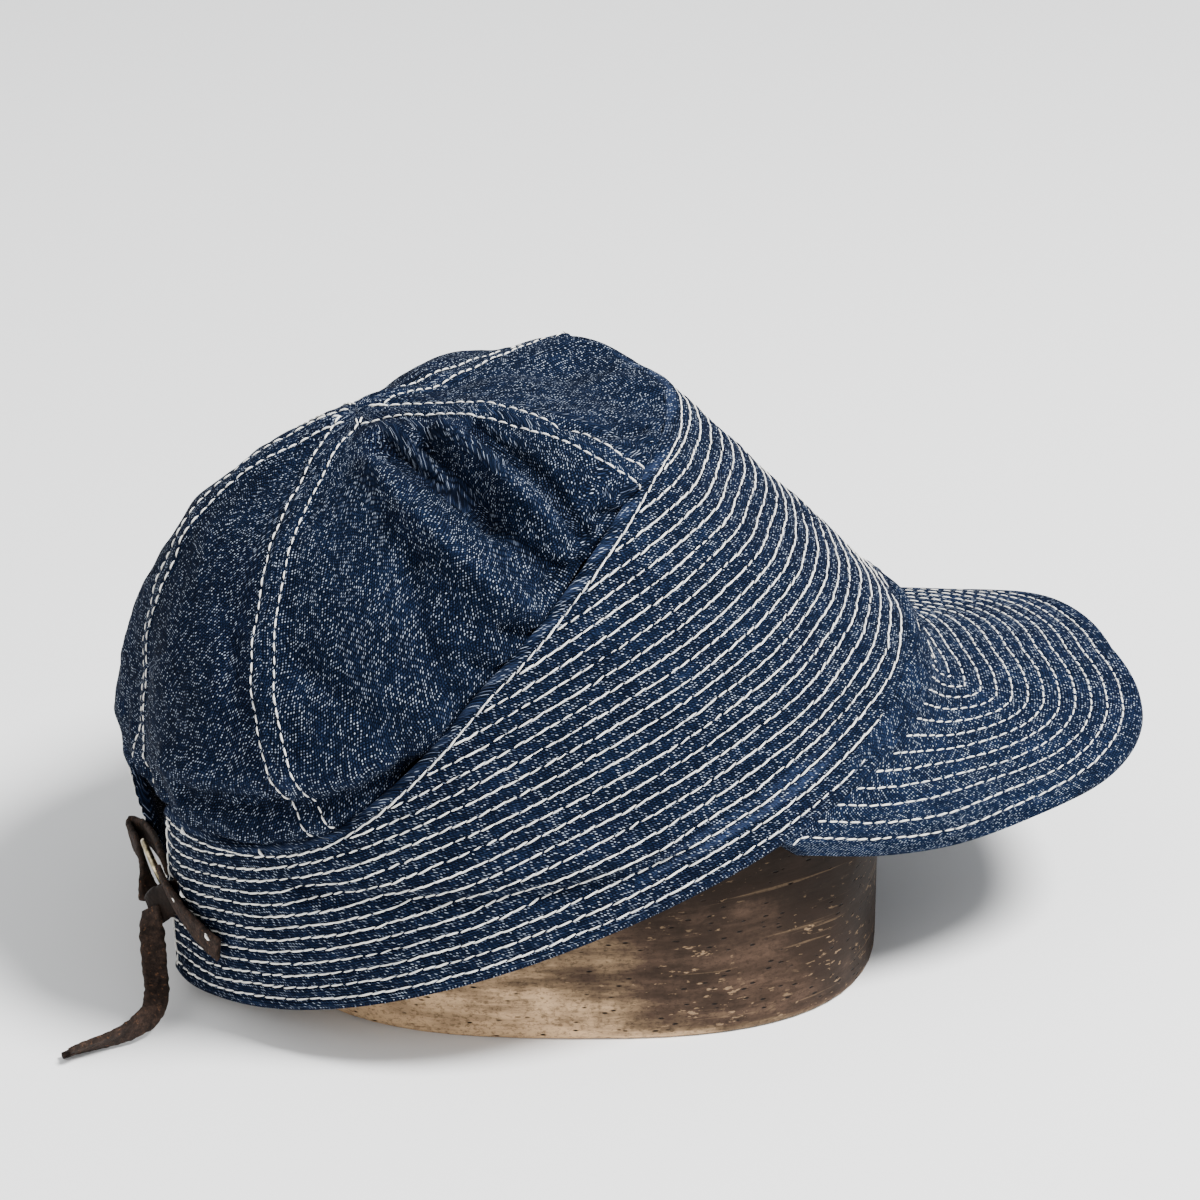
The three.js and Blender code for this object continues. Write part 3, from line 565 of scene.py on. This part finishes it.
def along_line(points, normals, pitch, rng):
    """Places for stitches every pitch along a line: middles, directions and normals."""
    run = run_length(points * MM, 0)
    middle = (np.arange(int(run[-1] / pitch)) + 0.5) * pitch
    middle = middle + rng.normal(0, 0.04 * pitch, len(middle))

    def at(x, values):
        return np.stack([np.interp(x, run, values[:, i]) for i in range(3)], 1)

    ways = unit(at(middle + pitch * 0.4, points) - at(middle - pitch * 0.4, points))
    return at(middle, points), ways, unit(at(middle, normals))


def stitches(name, lines, pitch, share, slant, seed, thick=1.0):
    """Stitches along several lines, each a pair of points and normals in millimetres, as one piece."""
    rng = np.random.default_rng(seed)
    width = bpy.context.scene.cap_cloth.thread_width / MM * thick
    rows = [along_line(p, n, pitch, rng) for p, n in lines]
    middles, ways, ups = (np.concatenate([r[i] for r in rows]) for i in range(3))
    count = len(middles)
    turn = np.radians(slant + rng.normal(0, 2.5, count))[:, None]
    sides = unit(np.cross(ups, ways))
    x_way = unit(ways * np.cos(turn) + sides * np.sin(turn))
    y_way = unit(np.cross(ups, x_way))
    z_way = np.cross(x_way, y_way)
    shape, faces = stitch_template(pitch * share, width)
    p = shape[None] * (1 + rng.normal(0, 0.05, (count, 1, 1)))
    spots = middles + ups * width * 0.34 + sides * rng.normal(0, 0.06, (count, 1))
    world = (spots[:, None] + p[..., :1] * x_way[:, None] + p[..., 1:2] * y_way[:, None]
             + p[..., 2:] * z_way[:, None])
    world = to_world(world.reshape(-1, 3))
    step = len(shape)
    mesh = bpy.data.meshes.new(name)
    mesh.from_pydata(world.tolist(), [], [[i + k * step for i in f] for k in range(count) for f in faces])
    tones = mesh.attributes.new("shade", "FLOAT", "POINT")
    tones.data.foreach_set("value", np.repeat(rng.uniform(0, 1, count), step).astype(np.float32))
    mesh.shade_smooth()
    mesh.update()
    return finish(link_piece(name, mesh), thread(), "denim")


def spans(inside):
    """Pairs of first and last places of the runs that are inside."""
    edges = np.flatnonzero(np.diff(np.concatenate([[0], inside.astype(int), [0]])))
    return [(i, j) for i, j in zip(edges[::2], edges[1::2]) if j - i > 5]


def strap(name, route, width_way, width, wall, look, node, rough, seed, notch=0.0):
    """A leather strip along a route in the scene's millimetres, with slightly rough faces and edges."""
    def place(u, v, depth):
        u = u * (1 - notch * np.maximum(0, 1 - np.abs(v - 0.6) / 0.3))
        middle = route.point(u)
        way = unit(route.point(np.minimum(u + 0.01, 1)) - route.point(np.maximum(u - 0.01, 0)))
        across = width_way.point(u)
        side = unit(across - way * np.sum(across * way, -1, keepdims=True))
        normal = np.cross(way, side)
        p = middle + side * ((v - 0.5) * width)[..., None] + normal * (wall / 2 - depth)[..., None]
        p = p + normal * (rough * ripples(p, 1.3, seed))[..., None]
        p = p + side * (rough * 1.5 * np.abs(2 * v - 1) ** 4 * ripples(p, 2.2, seed + 1))[..., None]
        return p * MM, 0.0

    section = profile(np.linspace(0, 1, 13), wall, 12, bulge=0.4 * wall / width, rim_steps=3)
    return finish(sheet(name, 110, section, place), look, "leather", *([node] if node else []))


def make_ring():
    """The ring, standing off the band's two ends with its axis outwards."""
    bm = bmesh.new()
    bmesh.ops.create_circle(bm, segments=14, radius=RING_WIRE / 2)
    bmesh.ops.rotate(bm, verts=bm.verts, cent=(0, 0, 0), matrix=Matrix.Rotation(math.pi / 2, 3, "X"))
    bmesh.ops.translate(bm, verts=bm.verts, vec=(RING_RADIUS, 0, 0))
    bmesh.ops.spin(bm, geom=bm.verts[:] + bm.edges[:], cent=(0, 0, 0), axis=(0, 0, 1),
                   angle=2 * math.pi, steps=56, use_merge=True)
    bmesh.ops.recalc_face_normals(bm, faces=bm.faces)
    angle = np.array((RIGHT_END + LEFT_END - 360) / 2)
    middle = Vector(band_smooth(angle, np.array(RING_RISE), -RING_STAND_OFF))
    bmesh.ops.transform(bm, verts=bm.verts, matrix=facing(middle, outward(angle)))
    world = to_world(np.array([v.co for v in bm.verts]))
    for vertex, point in zip(bm.verts, world):
        vertex.co = point
    mesh = made_mesh("ring", bm)
    mesh.shade_smooth()
    return finish(link_piece("ring", mesh), brass(), "brass", "adjuster_ring")


class Link:
    """A value in a material, so that maths on it reads as plain expressions."""

    def __init__(self, look, socket):
        self.look = look
        self.socket = socket

    def math(self, operation, *others):
        return self.look.add("Math", {"operation": operation}, dict(enumerate((self, *others))))

    def __add__(self, other):
        return self.math("ADD", other)

    def __mul__(self, other):
        return self.math("MULTIPLY", other)

    def __sub__(self, other):
        return self.math("SUBTRACT", other)

    def __rsub__(self, other):
        return self.look.add("Math", {"operation": "SUBTRACT"}, {0: other, 1: self})

    __radd__ = __add__
    __rmul__ = __mul__

    def between(self, low, high):
        """0 below low and 1 above high, with a soft change."""
        return self.look.add("MapRange", {"interpolation_type": "SMOOTHSTEP"},
                             {"Value": self, "From Min": low, "From Max": high})

    def output(self, number):
        return Link(self.look, self.socket.node.outputs[number])


class Look:
    """One procedural material."""

    def __init__(self, name):
        self.material = bpy.data.materials.new(name)
        self.material.use_nodes = True
        self.tree = self.material.node_tree
        self.tree.nodes.clear()

    def add(self, kind, settings=None, inputs=None, output=0):
        node = self.tree.nodes.new("ShaderNode" + kind)
        for key, value in (settings or {}).items():
            if key == "stops":
                ramp = node.color_ramp
                while len(ramp.elements) < len(value):
                    ramp.elements.new(0.5)
                for element, (spot, colour) in zip(ramp.elements, value):
                    element.position = spot
                    element.color = (*colour, 1)
            else:
                setattr(node, key, value)
        for key, value in (inputs or {}).items():
            socket = node.inputs[key]
            if isinstance(value, Link):
                self.tree.links.new(value.socket, socket)
            elif socket.type == "RGBA":
                socket.default_value = (*value, 1)
            else:
                socket.default_value = value
        return Link(self, node.outputs[output]) if node.outputs else None

    def mix(self, factor, a, b):
        return self.add("Mix", {"data_type": "RGBA"}, {0: factor, 6: a, 7: b}, 2)

    def noise(self, vector, scale, detail=2.0, roughness=0.5, stretch=None):
        if stretch:
            vector = self.add("Mapping", {}, {"Vector": vector, "Scale": stretch})
        return self.add("TexNoise", {}, {"Vector": vector, "Scale": scale, "Detail": detail,
                                         "Roughness": roughness})

    def place(self):
        return self.add("TexCoord", output=3)

    def ramp(self, value, *stops):
        return self.add("ValToRGB", {"stops": stops}, {0: value})

    def shader(self, colour, roughness, bump=None, strength=0.5, distance=0.0003, metallic=0.0, **fixed):
        inputs = {"Base Color": colour, "Roughness": roughness, "Metallic": metallic}
        for key, value in fixed.items():
            inputs[key.replace("_", " ").title().replace("Ior", "IOR")] = value
        if bump is not None:
            bumps = {"Strength": strength, "Distance": distance, "Height": bump}
            inputs["Normal"] = self.add("Bump", {}, bumps)
        surface = self.add("BsdfPrincipled", {}, inputs)
        self.add("OutputMaterial", {}, {"Surface": surface})
        return self.material


def shade(colour, factor, grey=0.0):
    """A colour made lighter or darker, and a little greyer."""
    middle = sum(colour) / 3
    return tuple(min(1.0, (c + (middle - c) * grey) * factor) for c in colour)


def denim(name, twist=1.0, light=0.0, specks=1.0):
    """Indigo twill with pale slubs, on the piece's own UV map in millimetres; lighter where worn and darker
    where shade is painted.
    """
    cloth = bpy.context.scene.cap_cloth
    indigo, slub = tuple(cloth.indigo), tuple(cloth.slub)
    look = Look(name)
    uv = look.add("UVMap", {"uv_map": "UVMap"})
    worn = look.add("Attribute", {"attribute_name": "worn"}, output=2)
    across = look.add("SeparateXYZ", {}, {0: uv})
    up = across.output(1)
    wobble = look.noise(uv, 0.35, 2, 0.5) * 0.5
    a = (across + up * 0.6 * twist + wobble) * (1 / SLUB_ACROSS)
    b = (up + wobble) * (1 / SLUB_ALONG)
    cell_a, cell_b = a.math("FLOOR"), b.math("FLOOR")
    cell = look.add("CombineXYZ", {}, {0: cell_a, 1: cell_b})
    chance = look.add("TexWhiteNoise", {"noise_dimensions": "2D"}, {"Vector": cell})
    x = (a - cell_a - 0.5) * 1.3
    y = b - cell_b - 0.5
    off = (x * x + y * y).math("SQRT")
    patch = look.noise(uv, 0.09, 3, 0.6)
    round_spot = 1 - off.between(0.1, 0.4)
    speck = round_spot * chance.between(0.5, 1.2) * patch.between(0.1, 0.5) * specks
    yarn = look.noise(uv, 1.1, 2, 0.65, (3.0, 0.5, 1))
    weft = look.noise(uv, 1.3, 2, 0.65, (0.5, 2.6, 1))
    fine = look.noise(uv, 2.8, 1, 0.7)
    # The piece's attribute makes the tone lighter where worn and darker where shade is painted, in creases
    # and quilting valleys.
    tone = yarn * 0.45 + weft * 0.25 + fine * 0.3 + patch * 0.25 + worn * 0.12 + (light - 0.135)
    colour = look.ramp(tone, (0.3, shade(indigo, 0.06)), (0.5, shade(indigo, 0.14)),
                       (0.62, shade(indigo, 0.45)), (0.76, shade(indigo, 2.0, 0.1)))
    faded = worn.between(0.35, 1.0) * yarn.between(0.35, 0.6) * 0.35
    colour = look.mix(faded, colour, shade(indigo, 3.6, 0.35))
    colour = look.mix(round_spot * (chance * 0.4 + 0.1), colour, shade(indigo, 3.4, 0.1))
    # Specks are brighter where worn and dimmer where shade is painted.
    bright = speck * (worn * 0.5 + 0.8)
    colour = look.mix(bright.math("MINIMUM", 1.0), colour, slub)
    height = speck * 0.6 + yarn * 0.5 + weft * 0.3
    return look.shader(colour, 0.9, height, 0.6, 0.0003, specular_ior_level=0.03)


def thread():
    made = bpy.data.materials.get("thread")
    if made:
        return made
    cloth = bpy.context.scene.cap_cloth
    look = Look("thread")
    tone = look.add("Attribute", {"attribute_name": "shade"}, output=2)
    place = look.place()
    ply = look.add("TexWave", {"wave_type": "BANDS", "bands_direction": "DIAGONAL"},
                   {"Vector": place, "Scale": 900.0, "Distortion": 2.0}, output=1)
    worn = look.noise(place, 900, 2)
    colour = look.mix(tone, shade(cloth.thread, 0.78), tuple(cloth.thread))
    colour = look.mix(worn.between(0.55, 0.75) * 0.5, colour, (0.25, 0.31, 0.4))
    return look.shader(colour, 0.8, ply, 0.4, 0.0001, specular_ior_level=0.3)


def leather(name, rough_side):
    """Brown leather: its fleshy side, rough with orange flecks, or its dark smooth side."""
    look = Look(name)
    base = tuple(bpy.context.scene.cap_trim.leather)
    place = look.place()
    grain = look.noise(place, 1100, 5, 0.7)
    coarse = look.noise(place, 420, 4, 0.65)
    tone = grain * 0.5 + coarse * 0.5
    if rough_side:
        colour = look.ramp(tone, (0.36, shade(base, 0.22)), (0.5, base), (0.62, shade(base, 2.3)))
        fleck = look.noise(place, 900, 3, 0.6).between(0.6, 0.7)
        colour = look.mix(fleck * 0.4, colour, (0.22, 0.1, 0.045))
        return look.shader(colour, 0.85, tone, 0.9, 0.0007, specular_ior_level=0.2)
    colour = look.ramp(tone, (0.36, shade(base, 0.25)), (0.55, shade(base, 0.55)), (0.7, shade(base, 1.1)))
    return look.shader(colour, 0.5, tone, 0.3, 0.0004, specular_ior_level=0.08)


def brass():
    look = Look("aged_brass")
    base = tuple(bpy.context.scene.cap_trim.brass)
    spots = look.noise(look.place(), 700, 4, 0.6)
    colour = look.mix(spots.between(0.42, 0.62), base, shade(base, 0.35))
    return look.shader(colour, spots * 0.35 + 0.15, spots, 0.2, 0.0002, metallic=1.0)


def old_wood():
    """Old hardwood under a dark patina that is worn off low down towards the cap's back."""
    colours = bpy.context.scene.cap_block
    dark, tan = tuple(colours.patina), tuple(colours.bare_wood)
    look = Look("block_wood")
    place = look.place()
    across = look.add("SeparateXYZ", {}, {0: place})
    height = across.output(2)
    grain = look.noise(place, 160, 5, 0.65, (0.25, 0.25, 1.5))
    patches = look.noise(place, 45, 5, 0.65)
    wear_and_shade_amount = across * 6.5 + height * 10.5 + (patches - 0.5) * 0.9 + (grain - 0.5) * 0.6 + 0.24
    edge = 1 - height.between(0.0006, 0.0032)
    wear_and_shade_amount = wear_and_shade_amount - edge * 0.3
    colour = look.ramp(wear_and_shade_amount, (0.08, tan), (0.3, shade(tan, 0.36)), (0.5, shade(dark, 1.1)),
                       (0.72, shade(dark, 0.36)), (0.95, shade(dark, 0.16)))
    colour = look.mix(grain.between(0.42, 0.62) * 0.45, colour, shade(dark, 0.4))
    scratch = look.noise(place, 130, 3, 0.6, (0.12, 0.12, 5.5)).between(0.62, 0.7)
    colour = look.mix(scratch * 0.12, colour, tan)
    mottle = look.noise(place, 1300, 4, 0.7, (0.6, 0.6, 1)).between(0.46, 0.66)
    colour = look.mix(mottle * 0.55, colour, shade(dark, 0.3))
    flat = look.add("Mapping", {}, {"Vector": place, "Scale": (0.34, 0.34, 1), "Rotation": (0, 0.12, 0)})
    pits = look.add("TexVoronoi", {"feature": "F1"}, {"Vector": flat, "Scale": 620.0})
    pit = (1 - pits.between(0.1, 0.2)) * look.noise(place, 60, 2, 0.5).between(0.3, 0.45)
    chip = look.noise(place, 760, 3, 0.6, (0.4, 0.4, 1.2)).between(0.62, 0.68) * patches.between(0.42, 0.6)
    colour = look.mix(chip * 0.4, colour, shade(tan, 0.8))
    colour = look.mix(pit, colour, (0.006, 0.004, 0.003))
    return look.shader(colour, 0.5 + grain * 0.2, grain * 0.4 - pit, 0.6, 0.0008, specular_ior_level=0.08)


def finish(piece, material, slot, *nodes):
    """Give a piece its material, hang it on the root body and hide the solids that it stands for."""
    piece.data.materials.clear()
    piece.data.materials.append(material)
    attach(piece, "root")
    if nodes:
        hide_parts(*nodes)
    return piece


class ClothSettings(bpy.types.PropertyGroup):
    indigo: FloatVectorProperty(name="Indigo", description="Colour of the denim's dark yarn", subtype="COLOR",
                                min=0, max=1, default=(0.0095, 0.0205, 0.056))
    slub: FloatVectorProperty(name="Slub", description="Colour of the pale specks in the denim",
                              subtype="COLOR", min=0, max=1, default=(0.66, 0.75, 0.88))
    thread: FloatVectorProperty(name="Thread", description="Colour of the stitching", subtype="COLOR",
                                min=0, max=1, default=(0.93, 0.91, 0.85))
    thread_width: FloatProperty(name="Thread width", description="Width of the stitching thread",
                                unit="LENGTH", min=0.0002, max=0.001, default=0.00049, precision=5)
    stitch: FloatProperty(name="Stitch", description="Length of a stitch on the band", unit="LENGTH",
                          min=0.002, max=0.006, default=0.0034, precision=4)
    quilting: FloatProperty(name="Quilting", description="How proud the cloth stands between stitch rows",
                            unit="LENGTH", min=0, max=0.001, default=0.00045, precision=5)


class TrimSettings(bpy.types.PropertyGroup):
    leather: FloatVectorProperty(name="Leather", description="Colour of the leather strips", subtype="COLOR",
                                 min=0, max=1, default=(0.02, 0.0115, 0.008))
    brass: FloatVectorProperty(name="Brass", description="Colour of the ring", subtype="COLOR",
                               min=0, max=1, default=(0.6, 0.5, 0.3))
    strip_width: FloatProperty(name="Strip width", description="Width of the sewn leather strips",
                               unit="LENGTH", min=0.004, max=0.009, default=0.006, precision=4)


class BlockSettings(bpy.types.PropertyGroup):
    patina: FloatVectorProperty(name="Patina", description="Colour of the dark old finish", subtype="COLOR",
                                min=0, max=1, default=(0.06, 0.036, 0.024))
    bare_wood: FloatVectorProperty(name="Bare wood", description="Colour where the finish is worn off",
                                   subtype="COLOR", min=0, max=1, default=(0.56, 0.37, 0.21))
    edge: FloatProperty(name="Edge", description="Radius of the worn lower edge", unit="LENGTH",
                        min=0, max=0.004, default=0.0014, precision=4)


class StageSettings(bpy.types.PropertyGroup):
    floor: FloatVectorProperty(name="Floor", description="Colour of the floor", subtype="COLOR",
                               min=0, max=1, default=(0.88, 0.88, 0.875))
    sky: FloatProperty(name="Surround", description="Strength of the light from all sides",
                       min=0, max=2, default=0.8)
    key: FloatProperty(name="Key light", description="Power of the main light", unit="POWER",
                       min=0, max=200, default=78)
    fill: FloatProperty(name="Fill light", description="Power of the second light", unit="POWER",
                        min=0, max=200, default=10)


class SAILORCAP_OT_camera(bpy.types.Operator):
    """Place the camera, a little above the cap and before its right side"""
    bl_idname = "sailorcap.camera"
    bl_label = "Camera"

    def execute(self, context):
        azimuth, elevation = math.radians(-12), math.radians(25.12)
        target = Vector((0.00852, 0.010, 0.0822))
        distance = 1.048
        focal_pixels, image_pixels = 4259, 1200
        back = Vector((math.sin(azimuth) * math.cos(elevation), -math.cos(azimuth) * math.cos(elevation),
                       math.sin(elevation)))
        data = bpy.data.cameras.new("camera")
        data.sensor_width = 36
        data.lens = data.sensor_width * focal_pixels / image_pixels
        data.clip_end = 20
        camera = bpy.data.objects.new("camera", data)
        camera.matrix_world = facing(target + back * distance, back)
        context.scene.collection.objects.link(camera)
        context.scene.camera = camera
        return {"FINISHED"}


class SAILORCAP_OT_lace_end(bpy.types.Operator):
    """Hang the free end of the lace from the ring down to the surface"""
    bl_idname = "sailorcap.lace_end"
    bl_label = "Lace end"

    def execute(self, context):
        points = np.array(TAIL_ROUTE)
        run = run_length(points * MM, 0)
        route = Table("share x y z", *np.column_stack([run / run[-1], points]))
        piece = strap("lace_end", route, TAIL_WIDTH_WAY, TAIL_WIDTH, TAIL_WALL,
                      leather("rough_leather", True), "lace_tail", rough=0.05, seed=31, notch=0.06)
        return {"FINISHED"}


class SAILORCAP_OT_band(bpy.types.Operator):
    """Make the quilted band and the stitch rows round it"""
    bl_idname = "sailorcap.band"
    bl_label = "Band"

    def execute(self, context):
        def place(u, v, depth):
            angle = RIGHT_END + (LEFT_END - RIGHT_END) * u
            return to_world(band_point(angle, v, depth)), band_wear_and_shade(angle, v)

        section = profile(np.linspace(0, 1, 191), BAND_WALL, 12, bulge=0.012)
        cloth = denim("band_denim", light=-0.02, specks=0.8)
        finish(sheet("band_cloth", 330, section, place), cloth, "denim", "band")
        angle = np.linspace(RIGHT_END + 0.6, LEFT_END - 0.6, 1200)
        height = band_height(angle)
        lines = []
        for k in range(int(BAND_HEIGHT / ROW_PITCH.columns["pitch"].min())):
            at = FIRST_ROW + k * ROW_PITCH.at("pitch", angle)
            for i, j in spans(at < height - EDGE_ROW - 0.7):
                lines.append((band_point(angle[i:j], at[i:j] / height[i:j]), band_normal(angle[i:j])))
        lines.append((band_point(angle, 1 - EDGE_ROW / height), band_normal(angle)))
        share = np.linspace(0.05, 0.95, 80)
        for end in (RIGHT_END + 0.9, LEFT_END - 0.9, LEFT_END - 3.2):
            ends = np.full_like(share, end)
            lines.append((band_point(ends, share), band_normal(ends)))
        stitches("band_stitches", lines, context.scene.cap_cloth.stitch / MM, share=1.2, slant=5, seed=1)
        return {"FINISHED"}


class SAILORCAP_OT_crown(bpy.types.Operator):
    """Make the five crown panels and their felled seams"""
    bl_idname = "sailorcap.crown"
    bl_label = "Crown"

    def execute(self, context):
        cloths = (denim("crown_denim", twist=-1.0), denim("crown_denim_across", twist=1.0, light=0.015))
        section = profile(np.linspace(0, 1, 161), CROWN_WALL, 10, rim_steps=2)
        for k, (name, start, end) in enumerate(PANELS):
            def place(u, v, depth):
                low, high = SEAMS.at(start, v), SEAMS.at(end, v)
                high = np.where(high > low, high, high + 360)
                angle = low + (high - low) * u
                # Painted shade: the cloth is coloured darker down in the creases and a little lighter on
                # those that stand out; the seams' ridges are lighter where the dye is rubbed.
                folded = press(crown_smooth(angle, v), CROWN_CREASES, crown_smooth) / FOLD_DEPTH
                dark = np.where(folded > 0, 2.4 * folded * folded, 0.45 * folded)
                away = seam_distance(angle, v)
                ridge = np.exp(-(((away - 0.8) / 2.2) ** 2)) * 0.3
                return to_world(crown_point(angle, v, depth)), np.clip(ridge - dark, -1, 1)

            columns = 210 if name == "front" else 150
            finish(sheet("crown_cloth_" + name, columns, section, place), cloths[k % 2], "denim",
                   "crown_panel_" + name)
        rise = np.linspace(0.01, 0.985, 400)
        lines = []
        for name in SEAM_NAMES:
            middle = SEAMS.at(name, rise)
            degree = np.linalg.norm(crown_across(middle, rise), axis=-1)
            for offset in (-SEAM_ROW, SEAM_ROW):
                angle = middle + offset / np.maximum(degree, 0.055)
                lines.append((crown_point(angle, rise), crown_normal(angle, rise)))
        stitches("crown_stitches", lines, SEAM_STITCH, share=0.84, slant=2, seed=2)
        return {"FINISHED"}


class SAILORCAP_OT_visor(bpy.types.Operator):
    """Make the visor and its stitch rows, which follow its outer edge"""
    bl_idname = "sailorcap.visor"
    bl_label = "Visor"

    def execute(self, context):
        def place(u, v, depth):
            side, reach = np.broadcast_arrays(2 * u - 1, v)
            return to_world(visor_point(side, reach, depth)), 0.12

        section = profile(VISOR_SHARES, VISOR_WALL, 12, bulge=0.025, rim_steps=6)
        finish(sheet("visor_cloth", 330, section, place), denim("visor_denim", light=0.035), "denim", "visor")
        side = np.linspace(-1, 1, 700)
        grid_side, grid_reach = np.meshgrid(side, VISOR_SHARES, indexing="ij")
        away = rim_distance(visor_smooth(grid_side, grid_reach))
        place_of = np.arange(len(side))
        lines = []
        for k in range(VISOR_ROWS):
            target = VISOR_EDGE_ROW + k * VISOR_PITCH
            deep = away > target
            last = len(VISOR_SHARES) - 1 - np.argmax(deep[:, ::-1], axis=1)
            last = np.clip(last, 0, len(VISOR_SHARES) - 2)
            a, b = away[place_of, last], away[place_of, last + 1]
            t = np.clip((a - target) / np.maximum(a - b, 1e-9), 0, 1)
            reach = VISOR_SHARES[last] + t * (VISOR_SHARES[last + 1] - VISOR_SHARES[last])
            for i, j in spans(deep.any(1) & (reach > 1e-4)):
                lines.append((visor_point(side[i:j], reach[i:j]), visor_normal(side[i:j], reach[i:j])))
        stitches("visor_stitches", lines, VISOR_STITCH, share=0.95, slant=4, seed=3)
        return {"FINISHED"}


class SAILORCAP_OT_adjuster(bpy.types.Operator):
    """Make the leather strips, the lace through the ring and the ring"""
    bl_idname = "sailorcap.adjuster"
    bl_label = "Adjuster"

    def execute(self, context):
        rough = leather("rough_strip_leather", True)
        dark = leather("smooth_leather", False)
        width = context.scene.cap_trim.strip_width / MM
        strap("lace_turn", LACE_ROUTE, LACE_WIDTH_WAY, width * 1.2, LACE_WALL, dark, "lace",
              rough=0.05, seed=41)
        strap("strap_left", LEFT_STRAP_ROUTE, LEFT_STRAP_WIDTH_WAY, width * 0.95, LEFT_STRAP_WALL, rough,
              "tab_left", rough=0.06, seed=51)
        for name, start, end, lift, wide, look, node, seed in (
            ("strap_right", (-165.2, 0.66), (-147.2, 0.37), 2.9, 1.0, rough, "tab_right", 61),
            ("strap_right_lining", (-163.8, 0.54), (-150.5, 0.36), 1.3, 1.05, dark, None, 71),
        ):
            along, angle, share = np.linspace((0, *start), (1, *end), 9).T
            middle = to_world(band_smooth(angle, share, -lift)) / MM
            route = Table("share x y z", *np.column_stack([along, middle]))
            strap(name, route, RIGHT_STRAP_WIDTH_WAY, width * wide, RIGHT_STRAP_WALL, look, node,
                  rough=0.06, seed=seed)
        rise = np.array([-KNOT_REACH, KNOT_REACH])[:, None] * UP
        knots = []
        for angle, share, lift in KNOTS:
            spot = band_smooth(np.array(angle), np.array(share), -lift)
            knots.append((spot + rise, np.tile(outward(angle), (2, 1))))
        stitches("strap_stitches", knots, KNOT_STITCH, share=1.0, slant=20, seed=4, thick=1.5)
        make_ring()
        return {"FINISHED"}


class SAILORCAP_OT_block(bpy.types.Operator):
    """Make the wooden block with its worn lower edge"""
    bl_idname = "sailorcap.block"
    bl_label = "Block"

    def execute(self, context):
        bm = bmesh.new()
        bm.from_mesh(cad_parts["block"].data)
        bmesh.ops.remove_doubles(bm, verts=bm.verts, dist=1e-6)
        bmesh.ops.dissolve_limit(bm, angle_limit=0.002, verts=bm.verts, edges=bm.edges)
        foot = [e for e in bm.edges
                if max(v.co.z for v in e.verts) < 1e-5 and e.calc_face_angle(0) > 1]
        bmesh.ops.bevel(bm, geom=foot, offset=context.scene.cap_block.edge, segments=4, affect="EDGES",
                        profile=0.5, material=-1)
        bmesh.ops.triangulate(bm, faces=[f for f in bm.faces if len(f.verts) > 4])
        mesh = made_mesh("wood_block", bm)
        mesh.shade_smooth()
        mesh.set_sharp_from_angle(angle=math.radians(40))
        finish(link_piece("wood_block", mesh), old_wood(), "wood", "block")
        return {"FINISHED"}


class SAILORCAP_OT_stage(bpy.types.Operator):
    """Set up the plain floor and the soft studio light"""
    bl_idname = "sailorcap.stage"
    bl_label = "Stage"

    def execute(self, context):
        stage = context.scene.cap_stage
        bm = bmesh.new()
        bmesh.ops.create_grid(bm, x_segments=1, y_segments=1, size=6)
        floor = link_piece("floor", made_mesh("floor", bm))
        floor.data.materials.append(Look("floor_paint").shader(tuple(stage.floor), 0.75))
        world = bpy.data.worlds.new("studio")
        world.use_nodes = True
        background = world.node_tree.nodes["Background"]
        background.inputs["Color"].default_value = (0.96, 0.98, 1, 1)
        background.inputs["Strength"].default_value = stage.sky
        context.scene.world = world
        for name, place, size, power in (("key", (0.75, -0.5, 1.45), 0.5, stage.key),
                                         ("fill", (-1.3, -0.8, 0.9), 1.2, stage.fill)):
            data = bpy.data.lights.new(name, "AREA")
            data.shape = "DISK"
            data.size = size
            data.energy = power
            light = bpy.data.objects.new(name, data)
            light.matrix_world = facing(place, Vector((0, 0, 0.08)) - Vector(place), "-Z")
            context.scene.collection.objects.link(light)
        return {"FINISHED"}


OPERATORS = (
    SAILORCAP_OT_camera, SAILORCAP_OT_lace_end, SAILORCAP_OT_band, SAILORCAP_OT_crown, SAILORCAP_OT_visor,
    SAILORCAP_OT_adjuster, SAILORCAP_OT_block, SAILORCAP_OT_stage,
)
SETTINGS = {
    "cap_cloth": ClothSettings, "cap_trim": TrimSettings,
    "cap_block": BlockSettings, "cap_stage": StageSettings,
}


class SAILORCAP_PT_panel(bpy.types.Panel):
    """The cap's pieces and settings"""
    bl_label = "Sailor Cap"
    bl_space_type = "VIEW_3D"
    bl_region_type = "UI"
    bl_category = "Sailor Cap"

    def draw(self, context):
        for group, settings in SETTINGS.items():
            box = self.layout.box()
            for name in settings.__annotations__:
                box.prop(getattr(context.scene, group), name)
        for operator in OPERATORS:
            self.layout.operator(operator.bl_idname)


CLASSES = (*SETTINGS.values(), *OPERATORS, SAILORCAP_PT_panel)


def register():
    for item in CLASSES:
        bpy.utils.register_class(item)
    for group, settings in SETTINGS.items():
        setattr(bpy.types.Scene, group, PointerProperty(type=settings))


def unregister():
    for group in SETTINGS:
        delattr(bpy.types.Scene, group)
    for item in reversed(CLASSES):
        bpy.utils.unregister_class(item)


def main():
    register()
    for operator in OPERATORS:
        group, name = operator.bl_idname.split(".")
        getattr(getattr(bpy.ops, group), name)()


if __name__ == "__main__":
    main()
